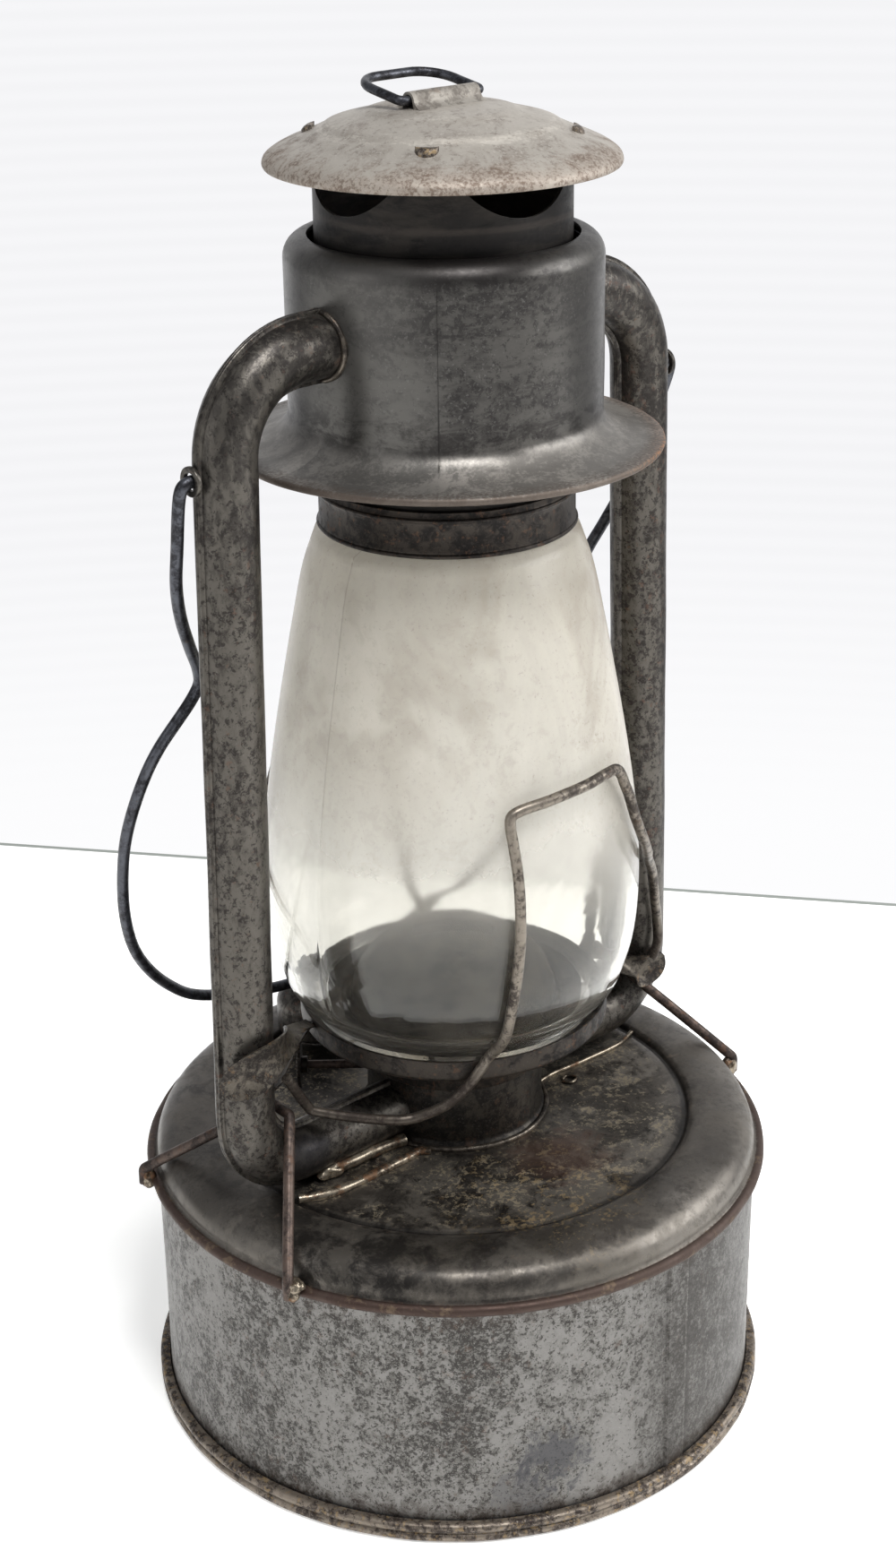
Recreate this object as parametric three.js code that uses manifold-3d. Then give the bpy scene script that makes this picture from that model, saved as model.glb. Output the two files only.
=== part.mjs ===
import * as THREE from "three";
import { mergeVertices } from "three/addons/utils/BufferGeometryUtils.js";
import Module from "manifold-3d";

// Barn lantern in millimetres, +Z up. It stands on z = 0 with its axis on the Z axis.
// The two side tubes lie in the XZ plane and the front faces -Y.

const wasm = await Module();
wasm.setup();

// Sheet metal and fits
const sheet = 0.8;
const seat = 0.3; // gap between pieces that lie against each other
const slip = 0.6; // gap between pieces that slide or turn in each other
const overrun = 3; // how far a cutting shape runs past what it cuts

// Fount, the fuel tank that the lantern stands on
const wallRadius = 91.5;
const footLip = 3.5; // how far the foot stands out from the wall
const footHeight = 6;
const footRound = 1.2;
const rimHeight = 80;
const rimLip = 3.3; // how far the rim stands out from the wall
const rimBead = 1.4;
const shoulderInset = 1.5; // shoulder inside the wall
const shoulderRise = 6.5; // shoulder above the rim
const domeRise = 4.1; // dome above the shoulder
const grooveInset = 21; // groove inside the wall
const grooveDepth = 1.5;
const discDrop = 0.8; // how far the middle disc lies below the dome
const lapWidth = 7;
const lapAzimuth = -88;

// Filler, at the back of the fount
const fillerReach = 63;
const fillerAzimuth = 92;
const fillerNeckRadius = 10;
const fillerNeckHeight = 9;
const fillerFlange = 2.5;
const fillerPlug = 4; // neck below the top of the fount
const capScrewShares = [0.97, 0.86, 0.66, 0.36]; // radii down the dome of the filler cap
const capScrewRadius = 13.5;
const capScrewSkirt = 8;
const capScrewDome = 8.2;
const capScrewLift = 2.6; // skirt edge above the fount
const gasketThickness = 1.6;

// Burner collar and globe plate
const collarRadius = 26.5;
const collarHeight = 22;
const plateRadius = 46;
const plateRimHeight = 7;
const plateRimRise = 2.6; // top of the rim above the ledge
const plateFloor = 128; // height of the ledge that the globe stands on
const plateThroatRadius = 30;
const plateNeckDepth = 18; // from the ledge down to the lower edge of the neck
const armWidth = 8;
const armThickness = 1.1;
const tongueLength = 27;
const tongueWidth = 11;
const tongueRise = 10; // middle of the tongue above the ledge
const tongueSlant = 52;
const tongueStep = 21; // low tongue below the high one
const armAzimuth = 18; // corner of the plate, behind the left tube

// Burner
const socketRadius = 16;
const socketHeight = 6;
const burnerFlangeRadius = 19;
const burnerPlugDepth = 7;
const coneRadius = 31;
const coneHeight = 23;
const coneSlotLength = 24;
const coneSlotWidth = 8;
const coneShares = [1, 0.93, 0.78, 0.5, 0];
const drumRadius = 17.6;
const drumHeight = 22;
const wickWidth = 15;
const wickThickness = 2.4;
const wickBottom = 16;
const wickTubeBottom = 62;
const wickTubeTop = 137;
const wickShow = 3; // wick above its tube
const shaftAzimuth = 138.3;
const shaftRadius = 1.3;
const shaftHeight = 106.8;
const shaftReach = 48;
const wheelRadius = 4;
const wheelThickness = 1.2;
const wheelSpacing = 8;
const wheelTeeth = 12;
const toothDepth = 0.9;
const knobRadius = 7.3;
const knobThickness = 1.2;

// Side tubes, each pressed in a front and a back half
const tubeRadius = 8.55;
const seamFlange = 1.2;
const tubeFootSpread = 79.7;
const tubeHeadSpread = 74.4;
const footBend = 19;
const headBend = 25;
const tubeHeadRise = 34; // upper duct above the rim of the bell

// Globe
const globeBelly = 55;
const globeHeight = 148.2; // from the ledge to the shoulder that carries the ring
const globeNeckRadius = 33.6;
const globeNeckHeight = 7;
const glass = 2.2;

// Air chamber and bell
const bellRise = 22.4; // rim of the bell above the shoulder of the globe
const bellRadius = 59.8;
const bellHeight = 10;
const bellBead = 1.1;
const bellFlareShares = [0.25, 0.6, 1];
const chamberRadius = 42.9;
const chamberHeight = 57.5; // from the rim of the bell to the rolled top
const chamberRound = 5;
const chamberMouth = 36.6;

// Chimney, with the cap, the globe ring, the spring seat and the spring
const chimneyRadius = 34.3;
const ringHeight = 13;
const ringThickness = 0.9;
const ringBead = 0.7;
const capGap = 18.8; // rim of the cap above the top of the chamber
const capRadius = 47.2;
const capHeight = 13.9;
const capDrop = 1.2; // turned-down edge of the cap
const capSeat = 1.5; // top of the chimney below the cap
const ventDepth = 17;
const ventHalfAngle = 38;
const webAzimuth = -138;
const tabWidth = 6;
const tabReach = 2.4;
const stopHeight = 13; // spring seat above the rim of the bell
const stopThickness = 1;
const springWire = 0.6; // radius
const springTurns = 5;

// Lift ring and its bracket
const ringWire = 1.25; // radius
const liftRingWidth = 14; // half width
const liftRingLength = 19.7;
const liftRingRound = 8.7;
const liftRingBend = 1.6;
const liftRingLeanAngle = 10;
const bracketLength = 23;
const bracketWall = 0.7;
const bracketSlip = 0.35;
const bracketFoot = 4;

// Bail
const bailWire = 1.7; // radius
const bailWidest = 90;
const bailWaist = 72.6;
const bailBend = 2.5; // of its ends into the ears
const bailLeanAngle = 17.5;
const bailDrop = 27.2; // pivots below the upper ducts
const earRadius = 4;
const earThickness = 1.4;

// Guard and brace wires
const guardWire = 1.55; // radius
const guardTop = 85; // bar of the guard above the ledge
const guardCoil = 5; // rise of the last turn round the right tube
const guardLow = 17; // lowest run of the guard below the ledge
const guardStartAzimuth = -36;
const guardCrossAzimuth = -20;
const braceWire = 1.6; // radius
const braceHeight = 25; // top of a brace above the middle disc
const braceSpan = 8; // length of the run across the tube
const braceBend = 1.9;
const braceFrontAzimuth = 19.3;
const braceBackAzimuth = 26.7;
const hookDrop = 6;
const hookRise = 3;

// Places that follow from the sizes above
const degree = Math.PI / 180;
const footRadius = wallRadius + footLip;
const rimRadius = wallRadius + rimLip;
const shoulderRadius = wallRadius - shoulderInset;
const shoulderHeight = rimHeight + shoulderRise;
const domeHeight = shoulderHeight + domeRise;
const grooveRadius = wallRadius - grooveInset;
const discHeight = domeHeight - discDrop;
const collarFoot = discHeight + seat;
const tubeFootHeight = discHeight + seat + tubeRadius;
const globeFoot = plateFloor + seat;
const globeShoulder = globeFoot + globeHeight;
const bellRim = globeShoulder + bellRise;
const chamberTop = bellRim + chamberHeight;
const tubeHeadHeight = bellRim + tubeHeadRise;
const capRim = chamberTop + capGap;
const capTop = capRim + capHeight;
const capScrewTop = discHeight + capScrewLift + capScrewSkirt + capScrewDome + sheet;
const bailPivot = tubeHeadHeight - bailDrop;
const bailRest = capScrewTop + bailWire; // it lies beside the top of the filler cap
const bailLength = (bailPivot - bailRest) / Math.cos(bailLeanAngle * degree);

const steelGrey = new THREE.MeshStandardMaterial({ color: 0x6f6d69, roughness: 0.55, metalness: 0.8 });
const tankGrey = new THREE.MeshStandardMaterial({ color: 0x77757a, roughness: 0.5, metalness: 0.8 });
const sootyBrown = new THREE.MeshStandardMaterial({ color: 0x3a342f, roughness: 0.4, metalness: 0.7 });
const dustyTan = new THREE.MeshStandardMaterial({ color: 0x8a8278, roughness: 0.65, metalness: 0.6 });
const cloudyGrey = new THREE.MeshStandardMaterial({ color: 0x5c5b5a, roughness: 0.5, metalness: 0.8 });
const rustyWire = new THREE.MeshStandardMaterial({ color: 0x4a3f39, roughness: 0.6, metalness: 0.7 });
const blueSteel = new THREE.MeshStandardMaterial({ color: 0x3c3d41, roughness: 0.5, metalness: 0.8 });
const oldBrass = new THREE.MeshStandardMaterial({ color: 0x5b4a30, roughness: 0.45, metalness: 0.9 });
const hazyGlass = new THREE.MeshStandardMaterial({
  color: 0xdedcd2,
  roughness: 0.15,
  metalness: 0,
  transparent: true,
  opacity: 0.45,
});
const cotton = new THREE.MeshStandardMaterial({ color: 0x8f8878, roughness: 0.95, metalness: 0 });
const leather = new THREE.MeshStandardMaterial({ color: 0x7a5a3a, roughness: 0.9, metalness: 0 });

const lantern = new THREE.Group();

function add(name, geometry, material) {
  const mesh = new THREE.Mesh(geometry, material);
  mesh.name = name;
  lantern.add(mesh);
  return mesh;
}

function solidOf(geometry) {
  const bare = geometry.index ? geometry.toNonIndexed() : geometry.clone();
  bare.deleteAttribute("normal");
  bare.deleteAttribute("uv");
  const merged = mergeVertices(bare);
  return new wasm.Manifold(
    new wasm.Mesh({
      numProp: 3,
      vertProperties: merged.attributes.position.array,
      triVerts: new Uint32Array(merged.index.array),
    }),
  );
}

function geometryOf(solid) {
  const mesh = solid.getMesh();
  const geometry = new THREE.BufferGeometry();
  geometry.setAttribute("position", new THREE.BufferAttribute(mesh.vertProperties, mesh.numProp));
  geometry.setIndex(new THREE.BufferAttribute(mesh.triVerts, 1));
  return geometry;
}

function join(first, ...others) {
  return geometryOf(others.reduce((solid, other) => solid.add(solidOf(other)), solidOf(first)));
}

function cut(first, ...tools) {
  return geometryOf(tools.reduce((solid, tool) => solid.subtract(solidOf(tool)), solidOf(first)));
}

function common(first, second) {
  return geometryOf(solidOf(first).intersect(solidOf(second)));
}

// A turned body from a profile of [radius, height] points; a ring's profile closes on itself.
function turned(profile, sides = 32) {
  const points = profile.map(([radius, height]) => new THREE.Vector2(radius, height));
  const onAxis = points[0].x === 0;
  if (THREE.ShapeUtils.area(points) < 0) points.reverse();
  if (!onAxis) points.push(points[0].clone());
  const geometry = new THREE.LatheGeometry(points, sides);
  geometry.rotateX(90 * degree);
  return geometry;
}

// The outline of a sheet: the outer line, then a line at the sheet's thickness to its left.
function sheetOutline(line, thickness) {
  const inner = line.map(([radius, height], index) => {
    const before = line[Math.max(index - 1, 0)];
    const after = line[Math.min(index + 1, line.length - 1)];
    const into = new THREE.Vector2(radius - before[0], height - before[1]).normalize();
    const out = new THREE.Vector2(after[0] - radius, after[1] - height).normalize();
    const along = into.clone().add(out).normalize();
    const mitre = Math.max(along.dot(index ? into : out), 0.5);
    return [radius - (along.y * thickness) / mitre, height + (along.x * thickness) / mitre];
  });
  return [...line, ...inner.reverse()];
}

function disc(radius, from, to, sides = 32) {
  const geometry = new THREE.CylinderGeometry(radius, radius, to - from, sides);
  geometry.rotateX(90 * degree);
  geometry.translate(0, 0, (from + to) / 2);
  return geometry;
}

function block(width, depth, from, to) {
  const geometry = new THREE.BoxGeometry(width, depth, to - from);
  geometry.translate(0, 0, (from + to) / 2);
  return geometry;
}

function place(azimuth, radius, height = 0) {
  return new THREE.Vector3(
    radius * Math.cos(azimuth * degree),
    radius * Math.sin(azimuth * degree),
    height,
  );
}

// A rod between two points.
function rod(from, to, radius, sides = 12) {
  const geometry = new THREE.CylinderGeometry(radius, radius, from.distanceTo(to), sides);
  const along = to.clone().sub(from).normalize();
  geometry.applyQuaternion(new THREE.Quaternion().setFromUnitVectors(new THREE.Vector3(0, 1, 0), along));
  const middle = from.clone().add(to).divideScalar(2);
  geometry.translate(middle.x, middle.y, middle.z);
  return geometry;
}

// A flat bar between two points, its width level.
function bar(from, to, width, thickness) {
  const geometry = new THREE.BoxGeometry(from.distanceTo(to), width, thickness);
  const along = to.clone().sub(from).normalize();
  const side = new THREE.Vector3(0, 0, 1).cross(along).normalize();
  const up = along.clone().cross(side);
  geometry.applyMatrix4(new THREE.Matrix4().makeBasis(along, side, up));
  const middle = from.clone().add(to).divideScalar(2);
  geometry.translate(middle.x, middle.y, middle.z);
  return geometry;
}

// A route of straight runs joined by round bends, sampled only where it bends.
class Route extends THREE.Curve {
  constructor(corners, bends, stepDegrees = 22.5) {
    super();
    this.stops = [];
    corners.forEach((corner, index) => {
      if (index === 0 || index === corners.length - 1) {
        const inner = corners[index === 0 ? 1 : index - 1];
        const along = index === 0 ? inner.clone().sub(corner) : corner.clone().sub(inner);
        this.stops.push({ at: corner.clone(), along: along.normalize() });
        return;
      }
      const arrive = corner.clone().sub(corners[index - 1]).normalize();
      const leave = corners[index + 1].clone().sub(corner).normalize();
      const turn = arrive.angleTo(leave);
      const radius = bends[index];
      const inward = leave.clone().addScaledVector(arrive, -arrive.dot(leave)).normalize();
      const start = corner.clone().addScaledVector(arrive, -radius * Math.tan(turn / 2));
      const steps = Math.max(Math.ceil(turn / (stepDegrees * degree)), 1);
      for (let step = 0; step <= steps; step += 1) {
        const angle = (turn * step) / steps;
        const at = start
          .clone()
          .addScaledVector(arrive, radius * Math.sin(angle))
          .addScaledVector(inward, radius * (1 - Math.cos(angle)));
        const along = arrive
          .clone()
          .multiplyScalar(Math.cos(angle))
          .addScaledVector(inward, Math.sin(angle));
        this.stops.push({ at, along });
      }
    });
  }
  get steps() {
    return this.stops.length - 1;
  }
  between(t, key) {
    const spot = Math.min(Math.max(t, 0), 1) * this.steps;
    const index = Math.min(Math.floor(spot), this.steps - 1);
    return this.stops[index][key].clone().lerp(this.stops[index + 1][key], spot - index);
  }
  getPoint(t) {
    return this.between(t, "at");
  }
  getTangent(t) {
    return this.between(t, "along").normalize();
  }
  getUtoTmapping(u) {
    return u;
  }
}

function circle(radius, sides) {
  const corner = (_, index) => {
    const angle = (index / sides) * 2 * Math.PI;
    return new THREE.Vector2(radius * Math.cos(angle), radius * Math.sin(angle));
  };
  return new THREE.Shape(Array.from({ length: sides }, corner));
}

function swept(section, curve, steps) {
  return new THREE.ExtrudeGeometry(section, { steps, extrudePath: curve, curveSegments: 1 });
}

function wire(curve, radius, steps = curve.steps, sides = 8) {
  return swept(circle(radius, sides), curve, steps);
}

// A wire bent smoothly through points, with two steps from each point to the next.
function bentWire(points, radius) {
  const curve = new THREE.CatmullRomCurve3(points, false, "centripetal");
  curve.getUtoTmapping = (u) => u;
  return wire(curve, radius, 2 * (points.length - 1), 6);
}

// Fount
function fountBottom() {
  return turned([
    [0, 0],
    [footRadius - footRound, 0],
    [footRadius, footRound],
    [footRadius, footHeight - footRound],
    [footRadius - footRound, footHeight],
    [wallRadius + seat, footHeight],
    [wallRadius + seat, sheet],
    [0, sheet],
  ], 48);
}

function fountWall() {
  const bottom = sheet + seat;
  const top = rimHeight - seat;
  const shell = turned([
    [wallRadius - sheet, bottom],
    [wallRadius, bottom],
    [wallRadius, top],
    [wallRadius - sheet, top],
  ], 48);
  const half = lapWidth / wallRadius / 2;
  const start = lapAzimuth * degree - half;
  const shape = new THREE.Shape();
  shape.absarc(0, 0, wallRadius + sheet, start, start + 2 * half, false);
  shape.absarc(0, 0, wallRadius - sheet / 2, start + 2 * half, start, true);
  const from = footHeight + seat;
  const depth = rimHeight - 3 * rimBead - seat - from;
  const lap = new THREE.ExtrudeGeometry(shape, { depth, bevelEnabled: false, curveSegments: 4 });
  lap.translate(0, 0, from);
  return join(shell, lap);
}

function fountTop() {
  const apron = rimHeight - 2 * rimBead;
  const inner = wallRadius + seat;
  const fold = rimRadius - 2 * rimBead;
  const brow = shoulderRadius - (domeHeight - shoulderHeight);
  const groove = domeHeight - grooveDepth;
  const centre = socketRadius - 2 * sheet;
  const profile = [
    [inner, apron],
    [rimRadius - rimBead / 2, apron],
    [rimRadius, apron + rimBead / 2],
    [rimRadius, rimHeight],
    [fold, rimHeight + 2 * rimBead],
    [shoulderRadius, shoulderHeight],
    [brow, domeHeight - grooveDepth / 2],
    [grooveRadius + 3 * grooveDepth, domeHeight],
    [grooveRadius + grooveDepth, domeHeight - grooveDepth / 4],
    [grooveRadius, groove],
    [grooveRadius - grooveDepth, discHeight],
    [centre, discHeight],
    [centre, discHeight - sheet],
    [grooveRadius - grooveDepth, discHeight - sheet],
    [grooveRadius, groove - sheet],
    [grooveRadius + 3 * grooveDepth, domeHeight - sheet],
    [brow - sheet, domeHeight - grooveDepth / 2 - sheet],
    [fold - 2 * sheet, rimHeight + sheet],
    [inner, rimHeight],
  ];
  const hole = disc(fillerNeckRadius + seat, discHeight - overrun, discHeight + overrun, 24);
  const middle = place(fillerAzimuth, fillerReach);
  hole.translate(middle.x, middle.y, 0);
  return cut(turned(profile, 48), hole);
}

function fillerNeck() {
  const bottom = discHeight - fillerPlug;
  const flange = domeHeight + seat;
  const top = discHeight + fillerNeckHeight;
  return turned([
    [fillerNeckRadius - sheet, bottom],
    [fillerNeckRadius, bottom],
    [fillerNeckRadius, flange],
    [fillerNeckRadius + fillerFlange, flange],
    [fillerNeckRadius + fillerFlange, flange + sheet],
    [fillerNeckRadius, flange + sheet],
    [fillerNeckRadius, top],
    [fillerNeckRadius - sheet, top],
  ], 24);
}

function fillerGasket() {
  const bottom = discHeight + fillerNeckHeight + seat;
  return turned([
    [fillerNeckRadius - 3 * sheet, bottom],
    [fillerNeckRadius + sheet, bottom],
    [fillerNeckRadius + sheet, bottom + gasketThickness],
    [fillerNeckRadius - 3 * sheet, bottom + gasketThickness],
  ], 24);
}

function fillerCap() {
  const bottom = discHeight + capScrewLift;
  const ceiling = discHeight + fillerNeckHeight + gasketThickness + 2 * seat;
  const skirt = bottom + capScrewSkirt;
  const bore = fillerNeckRadius + sheet + slip;
  const dome = capScrewShares.map((share) => [
    capScrewRadius * share,
    skirt + capScrewDome * Math.sqrt(1 - share * share) + sheet,
  ]);
  return turned([
    [0, capScrewTop],
    ...dome.reverse(),
    [capScrewRadius, skirt + sheet],
    [capScrewRadius, bottom],
    [bore, bottom],
    [bore, ceiling],
    [0, ceiling],
  ], 24);
}

function addFiller() {
  const middle = place(fillerAzimuth, fillerReach);
  const pieces = [
    add("filler_neck", fillerNeck(), tankGrey),
    add("filler_gasket", fillerGasket(), leather),
    add("filler_cap", fillerCap(), steelGrey),
  ];
  pieces.forEach((piece) => piece.position.copy(middle));
}

// Burner collar, with an opening on each side for the ducts and one for the wick shaft
function shaftAxis() {
  const along = place(shaftAzimuth, 1);
  const across = place(shaftAzimuth + 90, 1);
  const offset = wickThickness / 2 + wheelRadius + seat;
  const middle = across.multiplyScalar(offset).setZ(shaftHeight);
  return { along, middle };
}

function alongShaft(distance) {
  const { along, middle } = shaftAxis();
  return middle.clone().addScaledVector(along, distance);
}

function burnerCollar() {
  const shell = turned([
    [collarRadius - sheet, collarFoot],
    [collarRadius + 2 * sheet, collarFoot],
    [collarRadius, collarFoot + 2 * sheet],
    [collarRadius, collarFoot + collarHeight],
    [collarRadius - sheet, collarFoot + collarHeight],
  ]);
  const duct = rod(
    new THREE.Vector3(-collarRadius - overrun, 0, tubeFootHeight),
    new THREE.Vector3(collarRadius + overrun, 0, tubeFootHeight),
    tubeRadius - sheet,
    16,
  );
  const port = rod(alongShaft(socketRadius), alongShaft(collarRadius + overrun), shaftRadius + slip);
  return cut(shell, duct, port);
}

function burnerSocket() {
  const bottom = discHeight + seat;
  return turned([
    [socketRadius - 2 * sheet, bottom],
    [socketRadius + sheet, bottom],
    [socketRadius, bottom + sheet],
    [socketRadius, bottom + socketHeight],
    [socketRadius - 2 * sheet, bottom + socketHeight],
  ], 32);
}

function burnerBody() {
  const seatHeight = discHeight + 2 * seat + socketHeight;
  const plug = socketRadius - 2 * sheet - seat;
  const body = turned([
    [0, seatHeight - burnerPlugDepth],
    [plug, seatHeight - burnerPlugDepth],
    [plug, seatHeight],
    [burnerFlangeRadius, seatHeight],
    [burnerFlangeRadius, seatHeight + sheet],
    [0, seatHeight + sheet],
  ], 32);
  const slot = block(
    wickWidth + 2 * (slip + sheet + seat),
    wickThickness + 2 * (slip + sheet + seat),
    seatHeight - burnerPlugDepth - overrun,
    seatHeight + overrun,
  );
  return cut(body, slot);
}

function wickTube() {
  const width = wickWidth + 2 * slip;
  const depth = wickThickness + 2 * slip;
  const outer = block(width + 2 * sheet, depth + 2 * sheet, wickTubeBottom, wickTubeTop);
  const inner = block(width, depth, wickTubeBottom - overrun, wickTubeTop + overrun);
  const window = block(width - 2 * sheet, depth, shaftHeight - wheelRadius, shaftHeight + wheelRadius);
  window.translate(0, depth / 2, 0);
  return cut(outer, inner, window);
}

function wick() {
  return block(wickWidth, wickThickness, wickBottom, wickTubeTop + wickShow);
}

function feedWheel() {
  const tooth = (_, index) => {
    const angle = (index / wheelTeeth / 2) * 2 * Math.PI;
    const radius = index % 2 ? wheelRadius - toothDepth : wheelRadius;
    return new THREE.Vector2(radius * Math.cos(angle), radius * Math.sin(angle));
  };
  const star = new THREE.Shape(Array.from({ length: 2 * wheelTeeth }, tooth));
  const bore = new THREE.Path(circle(shaftRadius + seat / 2, 12).getPoints());
  star.holes.push(bore);
  const geometry = new THREE.ExtrudeGeometry(star, { depth: wheelThickness, bevelEnabled: false });
  geometry.translate(0, 0, -wheelThickness / 2);
  return geometry;
}

// Turns a piece made along +Z to lie along the wick shaft.
function layOnShaft(mesh, distance) {
  const { along } = shaftAxis();
  mesh.quaternion.setFromUnitVectors(new THREE.Vector3(0, 0, 1), along);
  mesh.position.copy(alongShaft(distance));
}

function addBurner() {
  add("burner_collar", burnerCollar(), sootyBrown);
  add("burner_socket", burnerSocket(), oldBrass);
  const turnedPieces = [
    add("burner_body", burnerBody(), oldBrass),
    add("wick_tube", wickTube(), oldBrass),
    add("wick", wick(), cotton),
    add("burner_cone", burnerCone(), oldBrass),
  ];
  turnedPieces.forEach((piece) => piece.rotateZ(shaftAzimuth * degree));
  add("burner_drum", burnerDrum(), oldBrass);
  const shaft = disc(shaftRadius, -wheelSpacing, shaftReach, 12);
  layOnShaft(add("wick_shaft", shaft, rustyWire), 0);
  [-wheelSpacing / 2, wheelSpacing / 2].forEach((distance, index) => {
    layOnShaft(add(`feed_wheel_${index + 1}`, feedWheel(), oldBrass), distance);
  });
  const hub = disc(2 * shaftRadius, -2 * knobThickness, 0, 12);
  const knob = cut(join(disc(knobRadius, -knobThickness / 2, knobThickness / 2, 24), hub), shaftBore());
  layOnShaft(add("wick_knob", knob, rustyWire), shaftReach - knobThickness);
}

function shaftBore() {
  return disc(shaftRadius + seat / 2, -knobRadius, knobThickness + overrun, 12);
}

function burnerCone() {
  const foot = plateFloor - sheet + seat;
  const dome = coneShares.map((share) => [
    coneRadius * share,
    foot + sheet + coneHeight * Math.sqrt(1 - share * share),
  ]);
  const under = dome.map(([radius, height]) => [Math.max(radius - sheet, 0), height - sheet]);
  const flange = coneRadius + 2 * sheet;
  const shell = turned([...dome.reverse(), [flange, foot + sheet], [flange, foot], ...under]);
  const slot = block(coneSlotLength, coneSlotWidth, foot + coneHeight / 2, foot + coneHeight + overrun);
  return cut(shell, slot);
}

// Drum round the wick tube, which carries the wick shaft
function burnerDrum() {
  const bottom = discHeight + 3 * seat + socketHeight + sheet;
  const shell = turned([
    [drumRadius - sheet, bottom],
    [drumRadius, bottom],
    [drumRadius, bottom + drumHeight],
    [drumRadius - sheet, bottom + drumHeight],
  ], 24);
  const port = rod(alongShaft(0), alongShaft(collarRadius), shaftRadius + seat);
  return cut(shell, port);
}

// Globe plate: a rim, a ledge for the globe and a neck that goes over the collar
function globePlate() {
  const ledge = plateFloor;
  const rimTop = ledge + plateRimRise;
  const rimFoot = rimTop - plateRimHeight;
  const neck = collarRadius + seat;
  const neckFoot = ledge - plateNeckDepth;
  const neckHead = neckFoot + plateNeckDepth / 3;
  const line = [
    [plateRadius, rimTop],
    [plateRadius, rimFoot + sheet],
    [plateRadius - 2 * sheet, rimFoot],
    [plateThroatRadius + 4 * sheet, rimFoot],
    [neck + sheet, neckHead],
    [neck + sheet, neckFoot],
    [neck, neckFoot],
    [neck, neckHead],
    [plateThroatRadius, ledge - 2 * sheet],
    [plateThroatRadius, ledge - sheet],
    [coneRadius + 3 * sheet, ledge - sheet],
    [coneRadius + 4 * sheet, ledge],
    [plateRadius - sheet, ledge],
    [plateRadius - sheet, rimTop],
  ];
  return turned(line);
}

function tubeSpread(height) {
  const share = (height - tubeFootHeight) / (tubeHeadHeight - tubeFootHeight);
  return tubeFootSpread + (tubeHeadSpread - tubeFootSpread) * share;
}

function tubeCentre(side, height) {
  return new THREE.Vector3(side * tubeSpread(height), 0, height);
}

function tubeRoute(side) {
  const corners = [
    new THREE.Vector3(side * (collarRadius - overrun), 0, tubeFootHeight),
    tubeCentre(side, tubeFootHeight),
    tubeCentre(side, tubeHeadHeight),
    new THREE.Vector3(side * (chamberRadius - overrun), 0, tubeHeadHeight),
  ];
  return new Route(corners, [0, footBend, headBend, 0]);
}

// The room that a tube and its seams take, with a gap all round
function tubeRoom(side, gap) {
  const route = tubeRoute(side);
  const round = wire(route, tubeRadius + gap, route.steps, 20);
  const wide = wire(route, tubeRadius + seamFlange + gap, route.steps, 20);
  const reach = 2 * bailWidest;
  const slab = new THREE.BoxGeometry(2 * reach, 2 * (sheet + seat / 2 + gap), 2 * capTop);
  return join(round, common(wide, slab));
}

// One half of a side tube: a half round wall with a flat seam flange along both edges.
function halfSection(half) {
  const steps = 6;
  const low = seat / 2;
  const high = low + sheet;
  const bore = tubeRadius - sheet;
  const edge = tubeRadius + seamFlange;
  const arc = (radius, height) => {
    const start = Math.asin(height / radius);
    return Array.from({ length: steps + 1 }, (_, index) => {
      const angle = start + ((Math.PI - 2 * start) * index) / steps;
      return [radius * Math.cos(angle), radius * Math.sin(angle)];
    });
  };
  const corners = [
    [edge, low],
    [edge, high],
    ...arc(tubeRadius, high),
    [-edge, high],
    [-edge, low],
    ...arc(bore, low).reverse(),
  ];
  return new THREE.Shape(corners.map(([x, y]) => new THREE.Vector2(x, half * y)));
}

function sideTube(side, half) {
  const route = tubeRoute(side);
  const body = swept(halfSection(half), route, route.steps);
  const below = tubeFootHeight - tubeRadius - seamFlange - overrun;
  const collar = disc(collarRadius + seat, below, tubeFootHeight + 2 * tubeRadius, 36);
  const flare = disc(collarRadius + 2 * sheet + seat, below, collarFoot + 2 * sheet + seat, 36);
  const chamber = disc(chamberRadius + seat, bellRim, chamberTop, 36);
  const trim = disc(grooveRadius, below, discHeight + seat, 36);
  return cut(body, collar, flare, chamber, trim);
}

function addTubes() {
  const sides = [["left", -1], ["right", 1]];
  sides.forEach(([name, side]) => {
    add(`tube_${name}_front`, sideTube(side, -side), steelGrey);
    add(`tube_${name}_back`, sideTube(side, side), steelGrey);
    add(`plate_arm_${name}`, plateArm(), steelGrey).rotateZ(side < 0 ? 0 : 180 * degree);
    add(`bail_ear_${name}`, bailEar(side), steelGrey);
    add(`brace_${name}`, brace(side), rustyWire);
  });
}

// A leaf-shaped tongue that lies round the front (-1) or the back (1) of the left tube
function tongue(face, height) {
  const route = tubeRoute(-1);
  const outside = wire(route, tubeRadius + seat + armThickness, route.steps, 20);
  const leaf = new THREE.CylinderGeometry(tongueWidth / 2, tongueWidth / 2, 2 * tubeRadius, 16);
  leaf.scale(tongueLength / tongueWidth, 1, 1);
  leaf.rotateY(-tongueSlant * degree);
  const centre = tubeCentre(-1, height);
  leaf.translate(centre.x, face * (tubeRadius + seamFlange), centre.z);
  return common(outside, leaf);
}

// The strip from the corner of the plate to a tongue
function armStrip(face, height) {
  const from = place(180 - armAzimuth, plateRadius, plateFloor);
  const inner = tubeSpread(height) - tubeRadius;
  const to = new THREE.Vector3(-inner, face * armWidth, height);
  const reach = to.clone().addScaledVector(to.clone().sub(from).normalize(), armWidth / 2);
  return bar(from, reach, armWidth, armThickness);
}

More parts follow.
